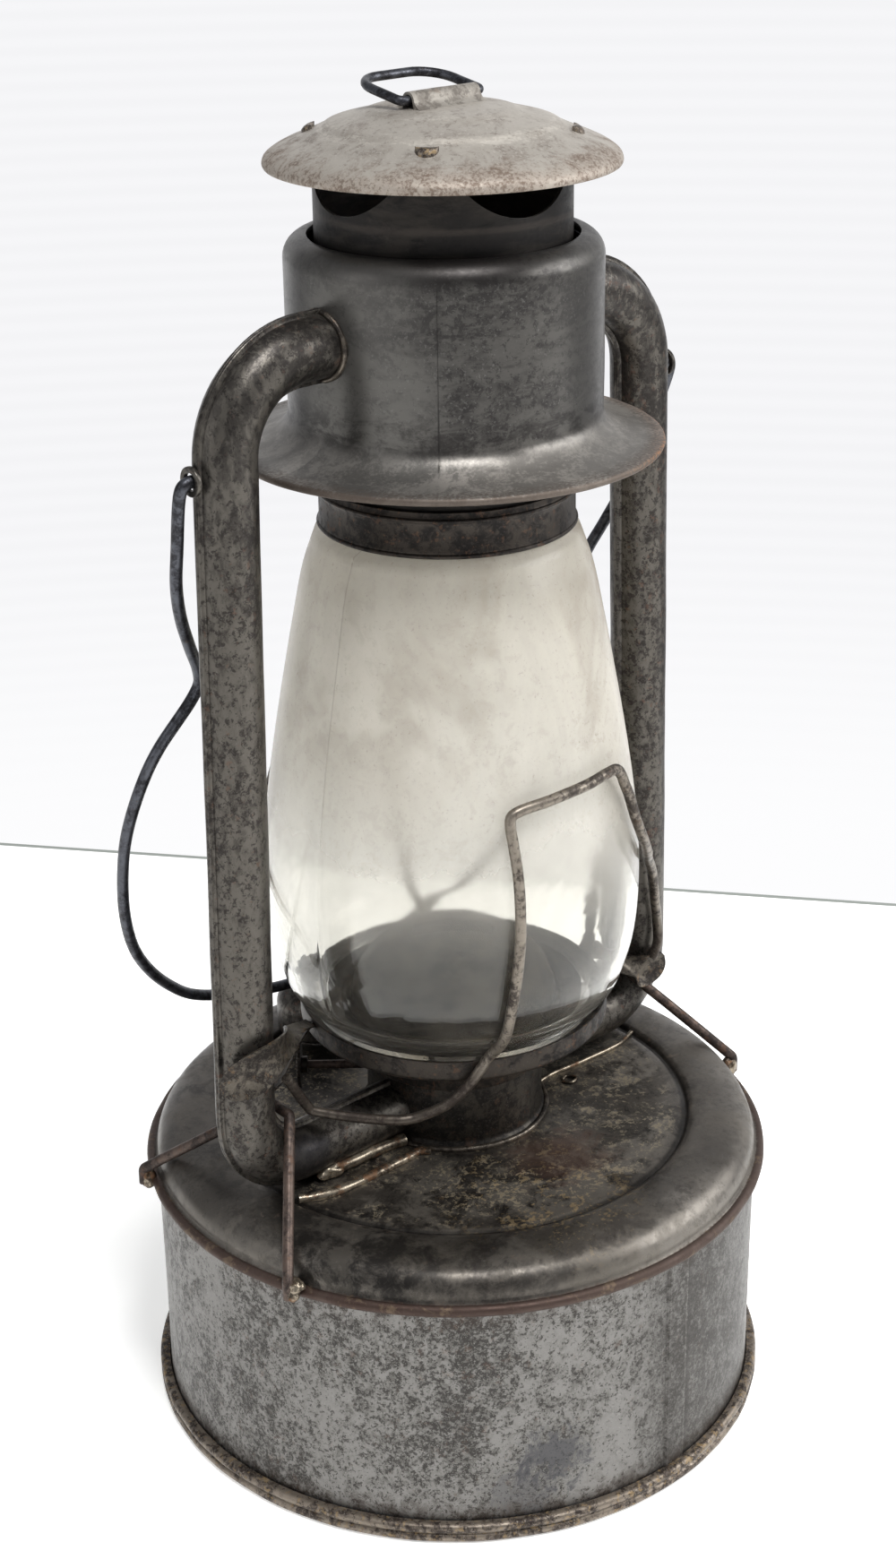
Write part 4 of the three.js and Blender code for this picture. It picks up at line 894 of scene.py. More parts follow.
def burnerDrum():
    # perforated drum that lets air to the wick tube
    foot, radius = burner["drumFoot"], burner["drumRadius"]
    line = [(radius - 0.8, foot), (radius, foot), (radius, foot + 22), (radius - 0.8, foot + 22)]
    pin = rodAlongX(12, 22, 1.5, foot + 16, "darkBrass", 12)
    grown(pin, "ring", {"Count": burner["drumHoles"], "First angle": 0.1})
    return cutAway(turned("burnerDrum", line, "darkBrass", 96), pin)


def knobPieces():
    shaft = [alongShaft(distance) for distance in (-8, 20, burner["shaftReach"])]
    shaft = wirePiece("wickShaft", shaft, burner["shaftRadius"], "rustyWire")
    seatPiece(shaft, "wick_shaft", "rusty_wire", "wick_shaft")
    thick, radius = burner["knobThickness"], burner["knobRadius"]
    line = rounded([(1.45, -2.4), (2.6, -2.4), (2.6, -thick / 2), (radius - 0.9, -thick / 2),
                    (radius - 0.35, -0.45), (radius - 0.35, 0.45), (radius - 0.9, thick / 2),
                    (1.45, thick / 2)], 0.2, 2)
    knob = turned("wickKnob", line, "pittedRing", 72)
    rib = smallBar("wickKnobTeeth", (radius - 0.35, 0, 0), (0.7, 0.62, 1.1), "pittedRing", 0.15)
    grown(rib, "ring", {"Count": burner["knobTeeth"], "First angle": 0.0})
    turn = Vector((0, 0, 1)).rotation_difference(polar(burner["shaftAzimuth"], 1)).to_matrix().to_4x4()
    for piece in (knob, rib):
        piece.data.transform(Matrix.Translation(alongShaft(burner["shaftReach"] - thick) * mm) @ turn)
    seatPiece(knob, "wick_shaft", "rusty_sheet", "wick_knob")
    seatPiece(rib, "wick_shaft", "rusty_sheet")


seatPiece(burnerCollar(), "lantern", "tank_top", "burner_collar")
seatPiece(globePlate(), "lantern", "rusty_sheet", "globe_plate")
seatPiece(burnerDome(), "lantern", "burner_brass", "burner_cone")
seatPiece(burnerDrum(), "lantern", "burner_brass", "burner_drum")
knobPieces()
brassNodes = ("burner_socket", "burner_body", "wick_tube", "feed_wheel_1", "feed_wheel_2")
for nodeName, material in (*[(name, "darkBrass") for name in brassNodes], ("wick", "cottonWick"),
                           ("filler_gasket", "oilyLeather")):
    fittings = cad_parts[nodeName].data.materials
    fittings.clear()
    fittings.append(bpy.data.materials[material])
print("lantern: burner made")


# Side tubes

tube = {"radius": 8.55, "sheet": 0.8, "flange": 1.2, "footHeight": 98.65, "headHeight": 332.9,
        "footSpread": 79.7, "headSpread": 74.4, "footBend": 19.0, "headBend": 25.0, "dent": 0.14}


def tubeSpread(height):
    share = (height - tube["footHeight"]) / (tube["headHeight"] - tube["footHeight"])
    return tube["footSpread"] + (tube["headSpread"] - tube["footSpread"]) * share


def tubeSection():
    # one side of the section is half a circle with the two seam flanges in its plane
    radius, half = tube["radius"], 0.95
    edge = radius + tube["flange"]
    start = degrees(asin(half / radius)) + 1.4
    near = [(edge - 0.25, 0.0), (edge, 0.22), (edge, 0.75), (edge - 0.2, half), (radius + 0.3, half)]
    upper = near + arcLine((0, 0), radius, start, 180 - start, 22) + [(-x, y) for x, y in near[::-1]]
    return upper + [(x, -y) for x, y in upper[-2:0:-1]]


def sideTube(name, side):
    corners = [(side * 25.0, 0, tube["footHeight"]), (side * tube["footSpread"], 0, tube["footHeight"]),
               (side * tube["headSpread"], 0, tube["headHeight"]), (side * 42.0, 0, tube["headHeight"])]
    stops = route(corners, [0, tube["footBend"], tube["headBend"], 0], 5.0, 7.0)
    section = tubeSection()
    points = []
    for at, along in stops:
        outward = Vector((along.z, 0, -along.x)) * side
        for x, y in section:
            spot = at + outward * x + Vector((0, y, 0))
            wave = tube["dent"] * (ripple(spot, 15) - 1)
            points.append(spot + (spot - at).normalized() * wave)
    for at, along in stops[::-1]:
        outward = Vector((along.z, 0, -along.x)) * side
        for x, y in section:
            share = (tube["radius"] - tube["sheet"]) / sqrt(x * x + y * y)
            points.append(at + outward * x * share + Vector((0, y * share, 0)))
    return meshPiece(name, points, gridFaces(2 * len(stops), len(section), True), "tubeZinc", 42)


# each strip leaves the corner of the plate and ends in a leaf pressed onto the tube: places and half widths
arm = {"thickness": 1.1, "steps": 8, "wrapFrom": 10.5, "wrapSpan": 9.0,
       "high": [(-43.6, 14.2, 127.6, 2.0), (-50.5, 9.2, 131.5, 1.9), (-58.5, 3.2, 135.6, 2.5),
                (-65.5, -3.0, 138.8, 3.5), (-71.0, -7.4, 140.2, 4.6), (-75.0, -9.6, 140.6, 5.4),
                (-78.8, -10.2, 139.9, 6.0), (-82.2, -9.7, 138.4, 6.2), (-84.8, -8.6, 136.2, 5.8),
                (-86.8, -7.0, 133.9, 4.6), (-88.2, -5.2, 131.6, 2.6), (-88.7, -4.3, 130.6, 0.9)],
       "low": [(-43.6, 14.2, 127.6, 2.4), (-51.0, 12.8, 123.2, 3.2), (-58.0, 10.8, 118.4, 4.4),
               (-64.5, 8.9, 114.6, 5.4), (-70.0, 8.6, 113.2, 5.6), (-74.5, 9.4, 113.6, 4.8),
               (-77.8, 9.8, 115.0, 3.4), (-79.8, 9.8, 116.4, 1.0)],
       "dish": {"high": 1.0, "low": 2.2}}


def armStrip(name, face):
    # a bent strip, pushed out of the tube where it would cut into it
    curve = smoothLine(arm[name], 6)
    shares = [-1 + 2 * step / arm["steps"] for step in range(arm["steps"] + 1)]

    def awayFrom(spot):
        return Vector((spot.x + tubeSpread(spot.z), spot.y, 0))

    def push(spot):
        away = awayFrom(spot)
        need = tube["radius"] + 0.25
        if abs(away.y) < 1.4 and abs(away.x) > tube["radius"] - 1:
            need += tube["flange"]
        return spot + away.normalized() * max(need - away.length, 0.0)

    def normal(spot):
        away = awayFrom(spot)
        flat = Vector((0, face * 0.35, 1.0)).normalized()
        share = clamped((away.length - arm["wrapFrom"]) / arm["wrapSpan"])
        return away.normalized().lerp(flat, share).normalized()

    rows = []
    for index, (x, y, z, half) in enumerate(curve):
        centre = Vector((x, y, z))
        along = Vector(curve[min(index + 1, len(curve) - 1)][:3]) - Vector(curve[max(index - 1, 0)][:3])
        side = along.normalized().cross(normal(centre)).normalized()
        row = []
        for layer, share in [(0, share) for share in shares] + [(1, share) for share in shares[::-1]]:
            spot = push(centre + side * half * share)
            dish = arm["dish"][name] * share * share * min(half / 6, 1.0)
            lift = arm["thickness"] * ((layer - 0.5) * (1 - 0.35 * abs(share) ** 6) + 0.5)
            row.append(spot + normal(spot) * (lift + dish))
        rows.append(row)
    return skin(name, rows, "armSteel", 50)


def plateArm(name, turn):
    # both strips as one object
    body = bmesh.new()
    for strip in (armStrip("high", -1), armStrip("low", 1)):
        body.from_mesh(strip.data)
        bpy.data.objects.remove(strip)
    mesh = bpy.data.meshes.new(name)
    body.to_mesh(mesh)
    body.free()
    mesh.transform(Matrix.Rotation(turn, 4, "Z"))
    return placed(name, mesh, "armSteel")


def bailEar(name, side):
    inner = tubeSpread(bail["pivot"]) + tube["radius"] + tube["flange"] + 0.1
    line = rounded([(2.35, 0.2), (4.0, 0.2), (4.0, 1.6), (2.35, 1.6)], 0.45, 3)
    eye = turned(name, line, "tubeZinc", 40)
    spot = Matrix.Translation(Vector((side * inner, 0, bail["pivot"])) * mm)
    eye.data.transform(spot @ Matrix.Rotation(side * pi / 2, 4, "Y"))
    return eye


# shares of the reach between waist and widest, then of the length
bail = {"wire": 1.7, "widest": 90.0, "waist": 72.6, "pivot": 305.7, "length": 203.73, "lean": 17.5,
        "bend": 2.5,
        "sides": [(0.83, 0.1), (0.74, 0.157), (0.57, 0.208), (0.31, 0.26), (0.06, 0.305), (0, 0.328),
                  (0.1, 0.352), (0.6, 0.419), (0.8, 0.461), (0.97, 0.53), (1, 0.59), (0.83, 0.696),
                  (0.51, 0.779), (0.11, 0.836)],
        "foot": [(0.9, 0.888), (0.76, 0.929), (0.5, 0.968), (0.25, 0.992)]}

for side, sideName in ((-1, "left"), (1, "right")):
    seatPiece(sideTube(sideName + "Tube", side), "lantern", "tube_sheet",
              "tube_%s_front" % sideName, "tube_%s_back" % sideName)
    seatPiece(plateArm(sideName + "PlateArm", 0.0 if side < 0 else pi), "lantern", "rusty_sheet",
              "plate_arm_" + sideName)
    seatPiece(bailEar(sideName + "BailEar", side), "lantern", "tube_sheet", "bail_ear_" + sideName)
print("lantern: side tubes made")


# Globe

# the outline is in shares of the belly's radius and of the height
globe = {"belly": 55.0, "foot": 128.3, "height": 148.2, "neckRadius": 33.6, "neckHeight": 7.0, "wall": 2.2,
         "seam": 0.12, "seamAzimuth": -174.5,
         "outline": [(0.77, 0), (0.81, 0.025), (0.895, 0.058), (0.945, 0.106), (0.98, 0.16), (1, 0.247),
                     (0.993, 0.362), (0.964, 0.463), (0.92, 0.571), (0.865, 0.686), (0.795, 0.821),
                     (0.736, 0.922), (0.67, 0.99)],
         "neck": [(33.9, 276.2), (33.6, 277.4), (33.6, 280.0), (33.5, 283.0), (33.1, 283.5)]}
globeLine = [(globe["belly"] * reach, globe["foot"] + globe["height"] * tall)
             for reach, tall in globe["outline"]]


def globeReach(height):
    top = globe["foot"] + globe["height"]
    line = globeLine + [(globe["neckRadius"], top), (globe["neckRadius"], top + globe["neckHeight"])]
    for low, high in zip(line, line[1:]):
        if low[1] <= height <= high[1]:
            return low[0] + (high[0] - low[0]) * (height - low[1]) / (high[1] - low[1])
    return line[0][0]


def globeBody():
    # thicker at the foot, with two fine mould seams
    outer = smoothLine(globeLine, 4) + globe["neck"]
    foot, wall = globe["foot"], globe["wall"]
    inner = innerLine(outer, lambda height: wall * (1 + 0.9 * max(0.0, 1 - (height - foot) / 9)))
    inner = [point for point in inner if point[1] < 283.6]

    def change(angle, reach, height):
        off = min(abs(turnFrom(angle + shift, globe["seamAzimuth"])) for shift in (0, 180))
        if reach > globeReach(min(max(height, 128.4), 283.4)) - 0.8 and 136 < height < 272:
            reach += globe["seam"] * max(0.0, 1 - off / 1.1) - 0.08
        return reach, height
    near = [globe["seamAzimuth"] + turn + shift for turn in (-1.1, -0.5, 0, 0.5, 1.1) for shift in (0, 180)]
    return turned("globeBody", outer + inner, "hazyGlass", 192, change, near, 60)


seatPiece(globeBody(), "globe", "globe_glass", "globe")
print("lantern: globe made")


# Chamber, chimney and cap

# the cap's outline is in shares of its radius and height
head = {"bellRim": 298.9, "bellRadius": 59.8, "chamberRadius": 42.9, "chamberTop": 356.4, "roll": 6.0,
        "ductHeight": 332.9, "ductRadius": 7.75, "dent": 0.28, "seamAzimuth": -134.0, "sheet": 0.8,
        "chimneyRadius": 34.3, "chimneyFoot": 284.1, "chimneyTop": 381.5, "ventHalf": 21.1, "ventDepth": 20.0,
        "firstVent": -93.0, "capRim": 375.2, "capRadius": 47.2, "capHeight": 13.9,
        "cap": [(0.992, -0.086), (1.0, -0.02), (0.99, 0.09), (0.945, 0.215), (0.88, 0.325), (0.80, 0.43),
                (0.72, 0.545), (0.672, 0.62), (0.635, 0.70), (0.56, 0.775), (0.47, 0.845), (0.425, 0.90),
                (0.38, 0.945), (0.25, 0.985), (0.0, 1.0)]}


def airChamber():
    rim, radius, top, roll = head["bellRim"], head["chamberRadius"], head["chamberTop"], head["roll"]
    bead = arcLine((head["bellRadius"] - 1.05, rim + 1.05), 1.05, -150, 75, 8)
    flare = arcLine((radius + 15.8, rim + 10), 15.8, -90, -180, 14, 7.9)[1:]
    wall = [(radius, height) for height in (311, 315, 320, 326, 332, 338, 344, top - roll - 2)]
    mouth = [(36.5, top - 0.15), (36.35, top - 0.6), (36.35, top - 1.2)]
    line = bead + flare + wall + arcLine((radius - roll, top - roll), roll, 0, 90, 9) + mouth

    def change(angle, reach, height):
        spot = polar(angle, reach, height)
        if height > 304:
            reach += head["dent"] * (ripple(spot, 24) - 0.6) * min((height - 304) / 8, 1)
            off = turnFrom(angle, head["seamAzimuth"])
            if -0.1 < off < 3.2 and height < top - roll:
                reach += 0.22 * min(1.0, (3.2 - off) / 2.2)
        elif reach > 57:
            reach += 0.18 * (ripple(spot, 9) - 0.8)
        return reach, height
    near = [head["seamAzimuth"] + turn for turn in (-0.4, -0.15, 0.0, 0.4, 1.4, 2.6, 3.4)]
    line += innerLine(line, lambda height: head["sheet"])
    chamber = turned("airChamber", line, "cloudyChamber", 240, change, near)
    return cutAway(chamber, rodAlongX(-60, 60, head["ductRadius"], head["ductHeight"], "cloudyChamber"))


def chimneyTube():
    # open under the cap in four scalloped vents
    radius, foot, top, sides = head["chimneyRadius"], head["chimneyFoot"], head["chimneyTop"], 360

    def edge(angle):
        off = (angle - head["firstVent"] + 45) % 90 - 45
        across = radius * sin(radians(abs(off))) / head["ventHalf"]
        return top if across >= 1 else min(top, top + 3 - head["ventDepth"] * sqrt(1 - across * across))
    rows = [0, 0.12, 0.3, 0.5, 0.7, 0.85, 1.0]
    line = [(radius, share) for share in rows] + [(radius - head["sheet"], share) for share in rows[::-1]]
    points = [polar(360 * side / sides, reach, foot + (edge(360 * side / sides) - foot) * share)
              for side in range(sides) for reach, share in line]
    return meshPiece("chimneyTube", points, gridFaces(sides, len(line), True), "darkChimney", 40)


def capBody():
    outer = smoothLine([(head["capRadius"] * reach, head["capRim"] + head["capHeight"] * tall)
                        for reach, tall in head["cap"]], 4)
    outer = [(max(reach, 0.0), min(height, 389.1)) for reach, height in outer]
    inner = [(46.4, 374.0)] + [(max(reach - 0.8, 0.0), height - 0.8) for reach, height in outer[4:]]

    def change(angle, reach, height):
        if reach > 40 and height >= 374.4:
            height -= 0.25 * (ripple(polar(angle, reach, 7), 16) + 0.7) * (reach - 40) / 7
        return reach, height
    return turned("capBody", outer + inner[::-1], "dustyCap", 240, change)


tabs = {"reach": 34.0, "height": 382.75, "half": 3.0, "length": 3.3, "slope": -24.0, "sheet": 0.8,
        "swell": 0.35, "first": -138.0}


def capTabs():
    # half-round ears bent out and down over the cap
    angles = [pi * (step / 10 - 0.5) for step in range(11)]
    stops = [(0, angle) for angle in angles] + [(tabs["sheet"], angle) for angle in angles[::-1]]
    rows = []
    for bend in (0, 0.25, 0.5, 0.75, 1):
        row = []
        for lift, angle in stops:
            outward = tabs["length"] * cos(angle) * bend
            slope = radians(tabs["slope"]) * bend
            row.append((tabs["reach"] + outward * cos(slope), tabs["half"] * sin(angle),
                        tabs["height"] + outward * sin(slope) + tabs["swell"] * sin(pi * bend) + lift))
        rows.append(row)
    tab = skin("capTabs", rows, "rustyLip", 45)
    return grown(tab, "ring", {"Count": 4, "First angle": radians(tabs["first"])}, 45)


def springSeat():
    line = [(34.6, 311.9), (41.5, 311.9), (41.5, 312.9), (34.6, 312.9)]
    return turned("springSeat", rounded(line, 0.35, 2), "darkChimney", 128)


def globeRing():
    # wide bead above, a narrower waist and a wide band at the foot
    line = [(34.6, 276.8)] + arcLine((35.5, 277.7), 0.7, -70, 70, 6)
    line += [(35.75, 278.9), (35.5, 279.6), (35.45, 285.6), (35.6, 286.2)]
    line += arcLine((35.55, 287.4), 0.65, -70, 75, 6)
    line += [(35.5, 288.6), (35.45, 289.6), (35.2, 289.8), (34.6, 289.8)]
    return turned("globeRing", line, "pittedRing", 144)


spring = {"Turns": 5.0, "Coil radius": 38.2 * mm, "Height": 39.6 * mm, "Foot": 313.8 * mm, "Wire": 0.6 * mm}

seatPiece(airChamber(), "lantern", "chamber_sheet", "air_chamber")
seatPiece(chimneyTube(), "chimney", "chamber_sheet", "chimney_tube")
seatPiece(springSeat(), "chimney", "chamber_sheet", "spring_seat")
seatPiece(capBody(), "chimney", "cap_sheet", "cap")
seatPiece(capTabs(), "chimney", "rusty_sheet")
seatPiece(globeRing(), "chimney", "rusty_sheet", "globe_ring")
coil = grown(placed("chimneySpring", bpy.data.meshes.new("chimneySpring"), "blueWire"), "spring", spring)
seatPiece(coil, "lantern", "spring_steel", "chimney_spring")
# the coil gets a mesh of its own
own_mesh(coil)
print("lantern: chamber, chimney and cap made")


# Lift ring

lift = {"axis": 391.0, "wire": 1.25, "half": 14.0, "length": 19.7, "lean": 10.0, "bracketHalf": 11.5,
        "bracketOuter": 2.3, "bracketBore": 1.6, "bracketRows": 13}


def ringBracket():
    # a strip folded over the ring, its feet soldered down on the cap
    profile = arcLine((0, lift["axis"]), lift["bracketOuter"], 0, 180, 15)
    profile += [(-2.9, 390.2), (-3.9, 389.55), (-6.2, 388.9), (-6.1, 388.3), (-2.4, 388.6)]
    profile += arcLine((0, lift["axis"]), lift["bracketBore"], 180, 0, 15)
    profile += [(2.4, 388.6), (6.1, 388.3), (6.2, 388.9), (3.9, 389.55), (2.9, 390.2)]
    rows = []
    for row in range(lift["bracketRows"]):
        x = lift["bracketHalf"] * (-1 + 2 * row / (lift["bracketRows"] - 1))
        droop = 0.0022 * x * x
        rows.append([(x, y, z + 0.12 * ripple((x, y, 5), 6) - droop * (1 if z < 389.9 else 0.25) - 0.12)
                     for y, z in profile])
    return skin("ringBracket", rows, "bracketZinc", 50, True)


def liftRing():
    lean, half, length = radians(lift["lean"]), lift["half"], lift["length"]
    corners = [(across, along * cos(lean), lift["axis"] + along * sin(lean)) for across, along in (
        (0.3, 0), (half, 0), (half, length), (-half, length), (-half, 0), (-0.3, 0))]
    stops = route(corners, [0, 1.7, 8.7, 8.7, 1.7, 0], 12.0, 3.0)
    return wirePiece("liftRing", [stop[0] for stop in stops], lift["wire"], "blueWire", sides=18)


seatPiece(ringBracket(), "chimney", "cap_sheet", "ring_bracket")
seatPiece(liftRing(), "lift_ring", "steel_wire", "lift_ring")


# Bail, guards and braces

def bailHandle():
    inner = tubeSpread(bail["pivot"]) + tube["radius"] + tube["flange"] + 0.3
    top, waist, bend, length = inner + 1.4 + 0.6 + bail["wire"], bail["waist"], bail["bend"], bail["length"]
    wide = max(top, bail["widest"])
    flat = [(inner, 0), (top - bend, 0), (top - 0.3 * bend, 0.3 * bend), (top, bend)]
    flat += [(waist + (wide - waist) * share, along * length) for share, along in bail["sides"]]
    flat += [(waist * share, along * length) for share, along in bail["foot"]]
    lean = radians(bail["lean"])
    points = [(x, along * sin(lean), bail["pivot"] - along * cos(lean))
              for x, along in [(-x, y) for x, y in flat] + [(0, length)] + flat[::-1]]
    return wirePiece("bailHandle", smoothLine(points, 8), bail["wire"], "blueWire", sides=18)


# azimuths, then: run, shares of the drop below the ledge and stand-offs in wires; rise, shares of the height
# and stand-offs; across, shares of the tubes' spread and of the height
guard = {"wire": 1.55, "ledge": 128.0, "top": 85.0, "low": 17.0, "coil": 5.0, "plateRadius": 46.0,
         "run": [(-175.1, 0.688, 8.7), (-174.7, 0.812, 7.8), (-173.0, 0.835, 7.1), (-162.5, 0.885, 3.8),
                 (-150, 0.885, 1.6), (-145.6, 0.865, 0.6), (-143, 0.82, 0.3), (-134, 0.58, 0.0),
                 (-126.5, 0.2, 0.0)],
         "rise": [(-119.5, 0.06, 0.2), (-116.4, 0.14, 0.1), (-114.6, 0.30, 0.1), (-113.3, 0.44, 0.1),
                  (-112.6, 0.57, 0.2), (-112.8, 0.74, 0.3), (-114.0, 0.87, 0.4), (-114.6, 0.93, 0.5),
                  (-114.2, 0.958, 0.6), (-112.0, 0.972, 0.6), (-102.6, 0.988, 0.7), (-88, 1.0, 0.7),
                  (-77, 1.004, 0.7), (-73.3, 0.999, 0.8), (-71.0, 0.972, 0.8), (-69.2, 0.93, 0.7),
                  (-66.6, 0.88, 0.5), (-63.2, 0.79, 0.3), (-57.4, 0.69, 0.2), (-45.6, 0.565, 0.2),
                  (-34, 0.49, 1.0)],
         "across": [(-23.0, 0.80, 0.405), (-16.4, 0.865, 0.300), (-12.2, 0.92, 0.150)]}


def guardWire(name, turn):
    wire, ledge, top = guard["wire"], guard["ledge"], guard["top"]
    off = wire + 0.6

    def onTube(side, azimuth, height):
        return Vector((side * tubeSpread(height), 0, height)) + polar(azimuth, tube["radius"] + 1.1 + off)
    points = [onTube(-1, -36, ledge + 1.2)]
    points += [polar(azimuth, guard["plateRadius"] + off + stand * wire, ledge - guard["low"] * share)
               for azimuth, share, stand in guard["run"]]
    points += [polar(azimuth, globeReach(ledge + top * share) + off + stand * wire, ledge + top * share)
               for azimuth, share, stand in guard["rise"]]
    points += [polar(azimuth, share * tubeSpread(ledge + top * tall), ledge + top * tall)
               for azimuth, share, tall in guard["across"]]
    points += [onTube(1, azimuth, ledge + guard["coil"] * share)
               for azimuth, share in ((-104, 0.4), (-103, -1.2), (-112, -2.2))]
    piece = wirePiece(name, smoothLine(points, 8), wire, "greyWire")
    piece.data.transform(Matrix.Rotation(turn, 4, "Z"))
    return piece


brace = {"wire": 1.6, "front": -19.3, "back": 26.7, "reach": 96.7, "over": 83.0, "drop": 4.8, "apex": 114.8,
         "span": 8.0, "bend": 1.9}


def braceWire(name, side):
    inner = tubeSpread(brace["apex"]) - tube["radius"] - tube["flange"] - 1.2 - brace["wire"]
    low, over, half = brace["over"] - brace["drop"], brace["over"], brace["span"] / 2
    corners = [polar(brace["front"], brace["reach"], low), polar(brace["front"], brace["reach"], over),
               (inner, -half, brace["apex"]), (inner, half, brace["apex"]),
               polar(brace["back"], brace["reach"], over), polar(brace["back"], brace["reach"], low)]
    stops = route([(side * x, y, z) for x, y, z in corners], [0] + [brace["bend"]] * 4 + [0], 12.0, 6.0)
    return wirePiece(name, [stop[0] for stop in stops], brace["wire"], "rustyWire", wave=0.35)


seatPiece(bailHandle(), "bail", "steel_wire", "bail")
seatPiece(guardWire("frontGuard", 0.0), "lantern", "rusty_wire", "guard_front")
seatPiece(guardWire("rearGuard", pi), "lantern", "rusty_wire", "guard_rear")
seatPiece(braceWire("leftBrace", -1), "lantern", "rusty_wire", "brace_left")
seatPiece(braceWire("rightBrace", 1), "lantern", "rusty_wire", "brace_right")
print("lantern: wires made")


# Solder

def ductPath(side, radius=8.95):
    angles = [2 * pi * step / 48 for step in range(48)]
    return [(side * sqrt(43.0 ** 2 - (radius * sin(angle)) ** 2), radius * sin(angle),
             head["ductHeight"] + radius * cos(angle)) for angle in angles]


def blob(name, centre, size, seed, material="softSolder"):
    # a lump of solder that ran and set
    def swell(body):
        bmesh.ops.create_icosphere(body, subdivisions=4, radius=1.0)
        for vertex in body.verts:
            share = 1 + 0.28 * noise(vertex.co * 1.3 + Vector((seed, 0, 0))) + 0.10 * noise(vertex.co * 3.4)
            vertex.co = (vertex.co * share * Vector(size) + Vector(centre)) * mm
    mesh = bpy.data.meshes.new(name)
    worked(mesh, 80, swell)
    return placed(name, mesh, material)


# name, points, radius, material, closed, waves, lumps, the lumps' scale and sides
beads = [
    ("collarSolder", [polar(5 * step, 28.0, 90.25) for step in range(72)],
     0.9, "sootySolder", True, 0.6, 0.6, 150, 12),
    ("tubeFootSolder", smoothLine([(-56.5, -5.6, 91.6), (-51.4, -6.0, 91.7), (-46.3, -6.4, 91.7),
                                   (-36, -6.6, 91.6), (-27.4, -7.6, 91.4)], 10),
     1.9, "softSolder", False, 0.7, 0.4, 120, 16),
    ("leftFootSolder", smoothLine([(-69, -9.6, 90.1), (-65.2, -11.6, 90.1), (-60.5, -13.5, 90.1),
                                   (-44, -14.6, 90.1), (-32, -14.4, 90.1), (-27.8, -14.2, 90.1),
                                   (-24.6, -16.6, 90.2)], 10),
     1.45, "softSolder", False, 0.8, 0.5, 160, 10),
    ("rightFootSolder", smoothLine([(27, -9.4, 90.2), (34, -8.6, 90.0), (47, -9.4, 90.0), (62, -9.6, 90.0),
                                    (70, -7.0, 90.1)], 10),
     0.7, "softSolder", False, 0.7, 0.5, 160, 10),
    ("leftBackSolder", smoothLine([(-28, 9.0, 90.1), (-45, 9.2, 90.0), (-62, 8.8, 90.0),
                                   (-70, 6.0, 90.1)], 10),
     0.7, "sootySolder", False, 0.7, 0.5, 160, 10),
    ("rightBackSolder", smoothLine([(28, 9.0, 90.1), (45, 9.4, 90.0), (62, 8.8, 90.0), (70, 6.0, 90.1)], 10),
     0.7, "sootySolder", False, 0.7, 0.5, 160, 10),
    ("leftDuctSolder", ductPath(-1), 0.75, "sootySolder", True, 0.3, 0.45, 200, 10),
    ("rightDuctSolder", ductPath(1), 0.75, "sootySolder", True, 0.3, 0.45, 200, 10),
    ("solderCurl", smoothLine([(32, -14, 90.1), (34, -16.5, 90.1), (37, -15.2, 90.1), (35.5, -12.6, 90.1),
                               (32.8, -13.4, 90.1)], 8), 0.45, "softSolder", False, 0.2, 0.4, 300, 10),
]
# name, centre, half sizes and the seed of its shape
lumps = [
    ("braceSolder", (-89.4, -32.6, 82.0), (2.7, 3.0, 1.9), 3.0),
    ("braceSolderLow", (-90.6, -32.6, 79.6), (1.9, 2.4, 2.0), 8.0),
    ("rightBraceSolder", (90.0, -31.7, 79.9), (2.5, 2.5, 3.3), 4.0),
    ("leftBackBraceSolder", (-85.2, 42.8, 79.7), (2.5, 2.5, 3.3), 6.0),
    ("rightBackBraceSolder", (85.2, 42.8, 79.7), (2.5, 2.5, 3.3), 9.0),
    ("leftFootBlob", (-54.0, -5.6, 91.6), (4.6, 3.0, 2.3), 5.0),
    ("collarBlob", (-26.8, -14.4, 90.5), (2.0, 1.6, 1.1), 11.0),
]
for piece in [wirePiece(*bead) for bead in beads] + [blob(*lump) for lump in lumps]:
    seatPiece(piece, "lantern", "tank_top")
seatPiece(blob("bracketSolder", (0, 0, 387.9), (13.5, 6.6, 1.5), 2.0, "dustyCap"), "chimney", "cap_sheet")
print("lantern: solder made")


# Floor, wall, light and camera

# the floor ends along a line behind the lantern, where the pale wall begins; this part is in metres
lineStart, lineEnd = Vector((0.09786, 0.42526, 0)), Vector((0.34913, 0.10300, 0))
lineRun = (lineEnd - lineStart).normalized()
across = Vector((-lineRun.y, lineRun.x, 0))
stage = {"reach": 2.5, "below": -0.0002, "lineWidth": 0.0032}


def floorPaint():
    # matt white paint that gives back a little light of its own, with a thin grey line at its far edge
    board = newBoard("floorPaint")
    board.colour = board.paint(board.grain(3, 3, 0.5), "fdfdfb", "f8f8f7")
    beyond = board.vector("DOT_PRODUCT", board.place(), tuple(across), "Value")
    edge = across.dot(lineStart) - stage["lineWidth"]
    board.lay(board.rise(beyond, edge, edge + 0.0008), "868a86")
    board.finish(board.shader(0.9, 0.0, {
        "Specular IOR Level": 0.1, "Emission Color": board.colour, "Emission Strength": 0.5}))


def floorPiece():
    run = lineRun * stage["reach"]
    near = lineStart - across * 2 * stage["reach"]
    mesh = bpy.data.meshes.new("floor")
    corners = (lineStart - run, lineStart + run, near + run, near - run)
    mesh.from_pydata([(corner.x, corner.y, stage["below"]) for corner in corners], [], [(0, 1, 2, 3)])
    if mesh.polygons[0].normal.z < 0:
        mesh.flip_normals()
    placed("floor", mesh, "floorPaint")


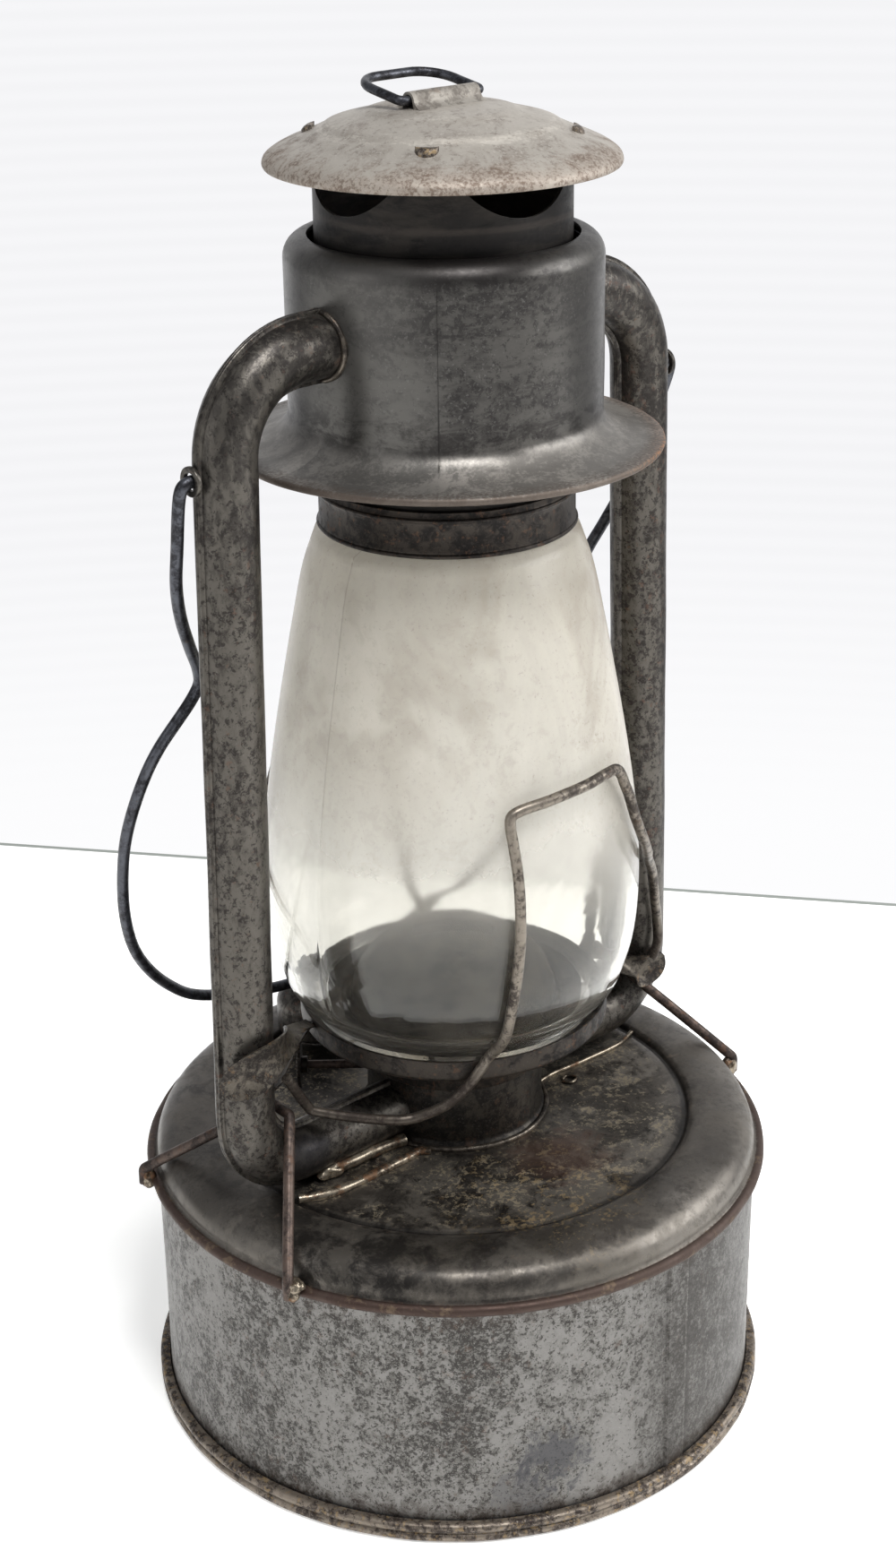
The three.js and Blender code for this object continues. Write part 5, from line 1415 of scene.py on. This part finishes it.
def areaLight(name, spot, aim, width, height, power):
    data = bpy.data.lights.new(name, "AREA")
    data.shape = "RECTANGLE"
    data.size = width
    data.size_y = height
    data.energy = power
    lamp = placed(name, data)
    lamp.location = spot
    lamp.rotation_mode = "QUATERNION"
    lamp.rotation_quaternion = (Vector(aim) - Vector(spot)).to_track_quat("-Z", "Y")


def studioWorld():
    # a pale ribbed wall behind the lantern, a dimmer room everywhere else
    scene.world = bpy.data.worlds.new("studio")
    scene.world.use_nodes = True
    board = Board(scene.world.node_tree)
    way = board.node("TexCoord", output="Generated")
    rib = board.node("TexWave", {"bands_direction": "Z"}, {"Vector": way, "Scale": 48}, output="Fac")
    wall = board.paint(rib, "f6f6f8", "f4f4f6")
    tall = board.node("SeparateXYZ", None, {0: way}, output="Z")
    wall = board.paint(board.rise(tall, -0.28, -0.44), wall, "fdfdfe")
    ahead = board.vector("DOT_PRODUCT", way, (0.66, 0.75, -0.1), "Value")
    colour = board.paint(board.rise(ahead, 0.60, 0.88), "8c8d90", wall)
    sky = board.node("Background", None, {"Color": colour, "Strength": 1.0})
    board.node("OutputWorld", None, {"Surface": sky})


if across.dot(lineStart) < 0:
    across = -across
floorPaint()
floorPiece()
studioWorld()
areaLight("keyRight", (1.0, -0.92, 0.85), (0, 0, 0.2), 1.1, 0.8, 17.0)
areaLight("topBox", (-0.22, -0.62, 1.55), (0, 0, 0.3), 0.36, 0.36, 17.0)
areaLight("fillLeft", (-1.3, 0.3, 0.7), (0, 0, 0.2), 0.7, 0.9, 2.5)
scene.view_settings.view_transform = "Standard"

camera = {"spot": (-0.43736, -0.49343, 0.48919), "right": (0.7454022, -0.6664967, -0.0125543),
          "up": (0.2789836, 0.2947971, 0.9139272), "forward": (0.6054285, 0.6847458, -0.4056840),
          "lens": 57.16}
cameraData = bpy.data.cameras.new("camera")
cameraData.lens = camera["lens"]
cameraData.sensor_width = 36.0
cameraData.clip_start = 0.02
facing = Matrix((camera["right"], camera["up"], -Vector(camera["forward"]))).transposed().to_4x4()
scene.camera = placed("camera", cameraData)
scene.camera.matrix_world = Matrix.Translation(camera["spot"]) @ facing
print("lantern: stage, light and camera set")
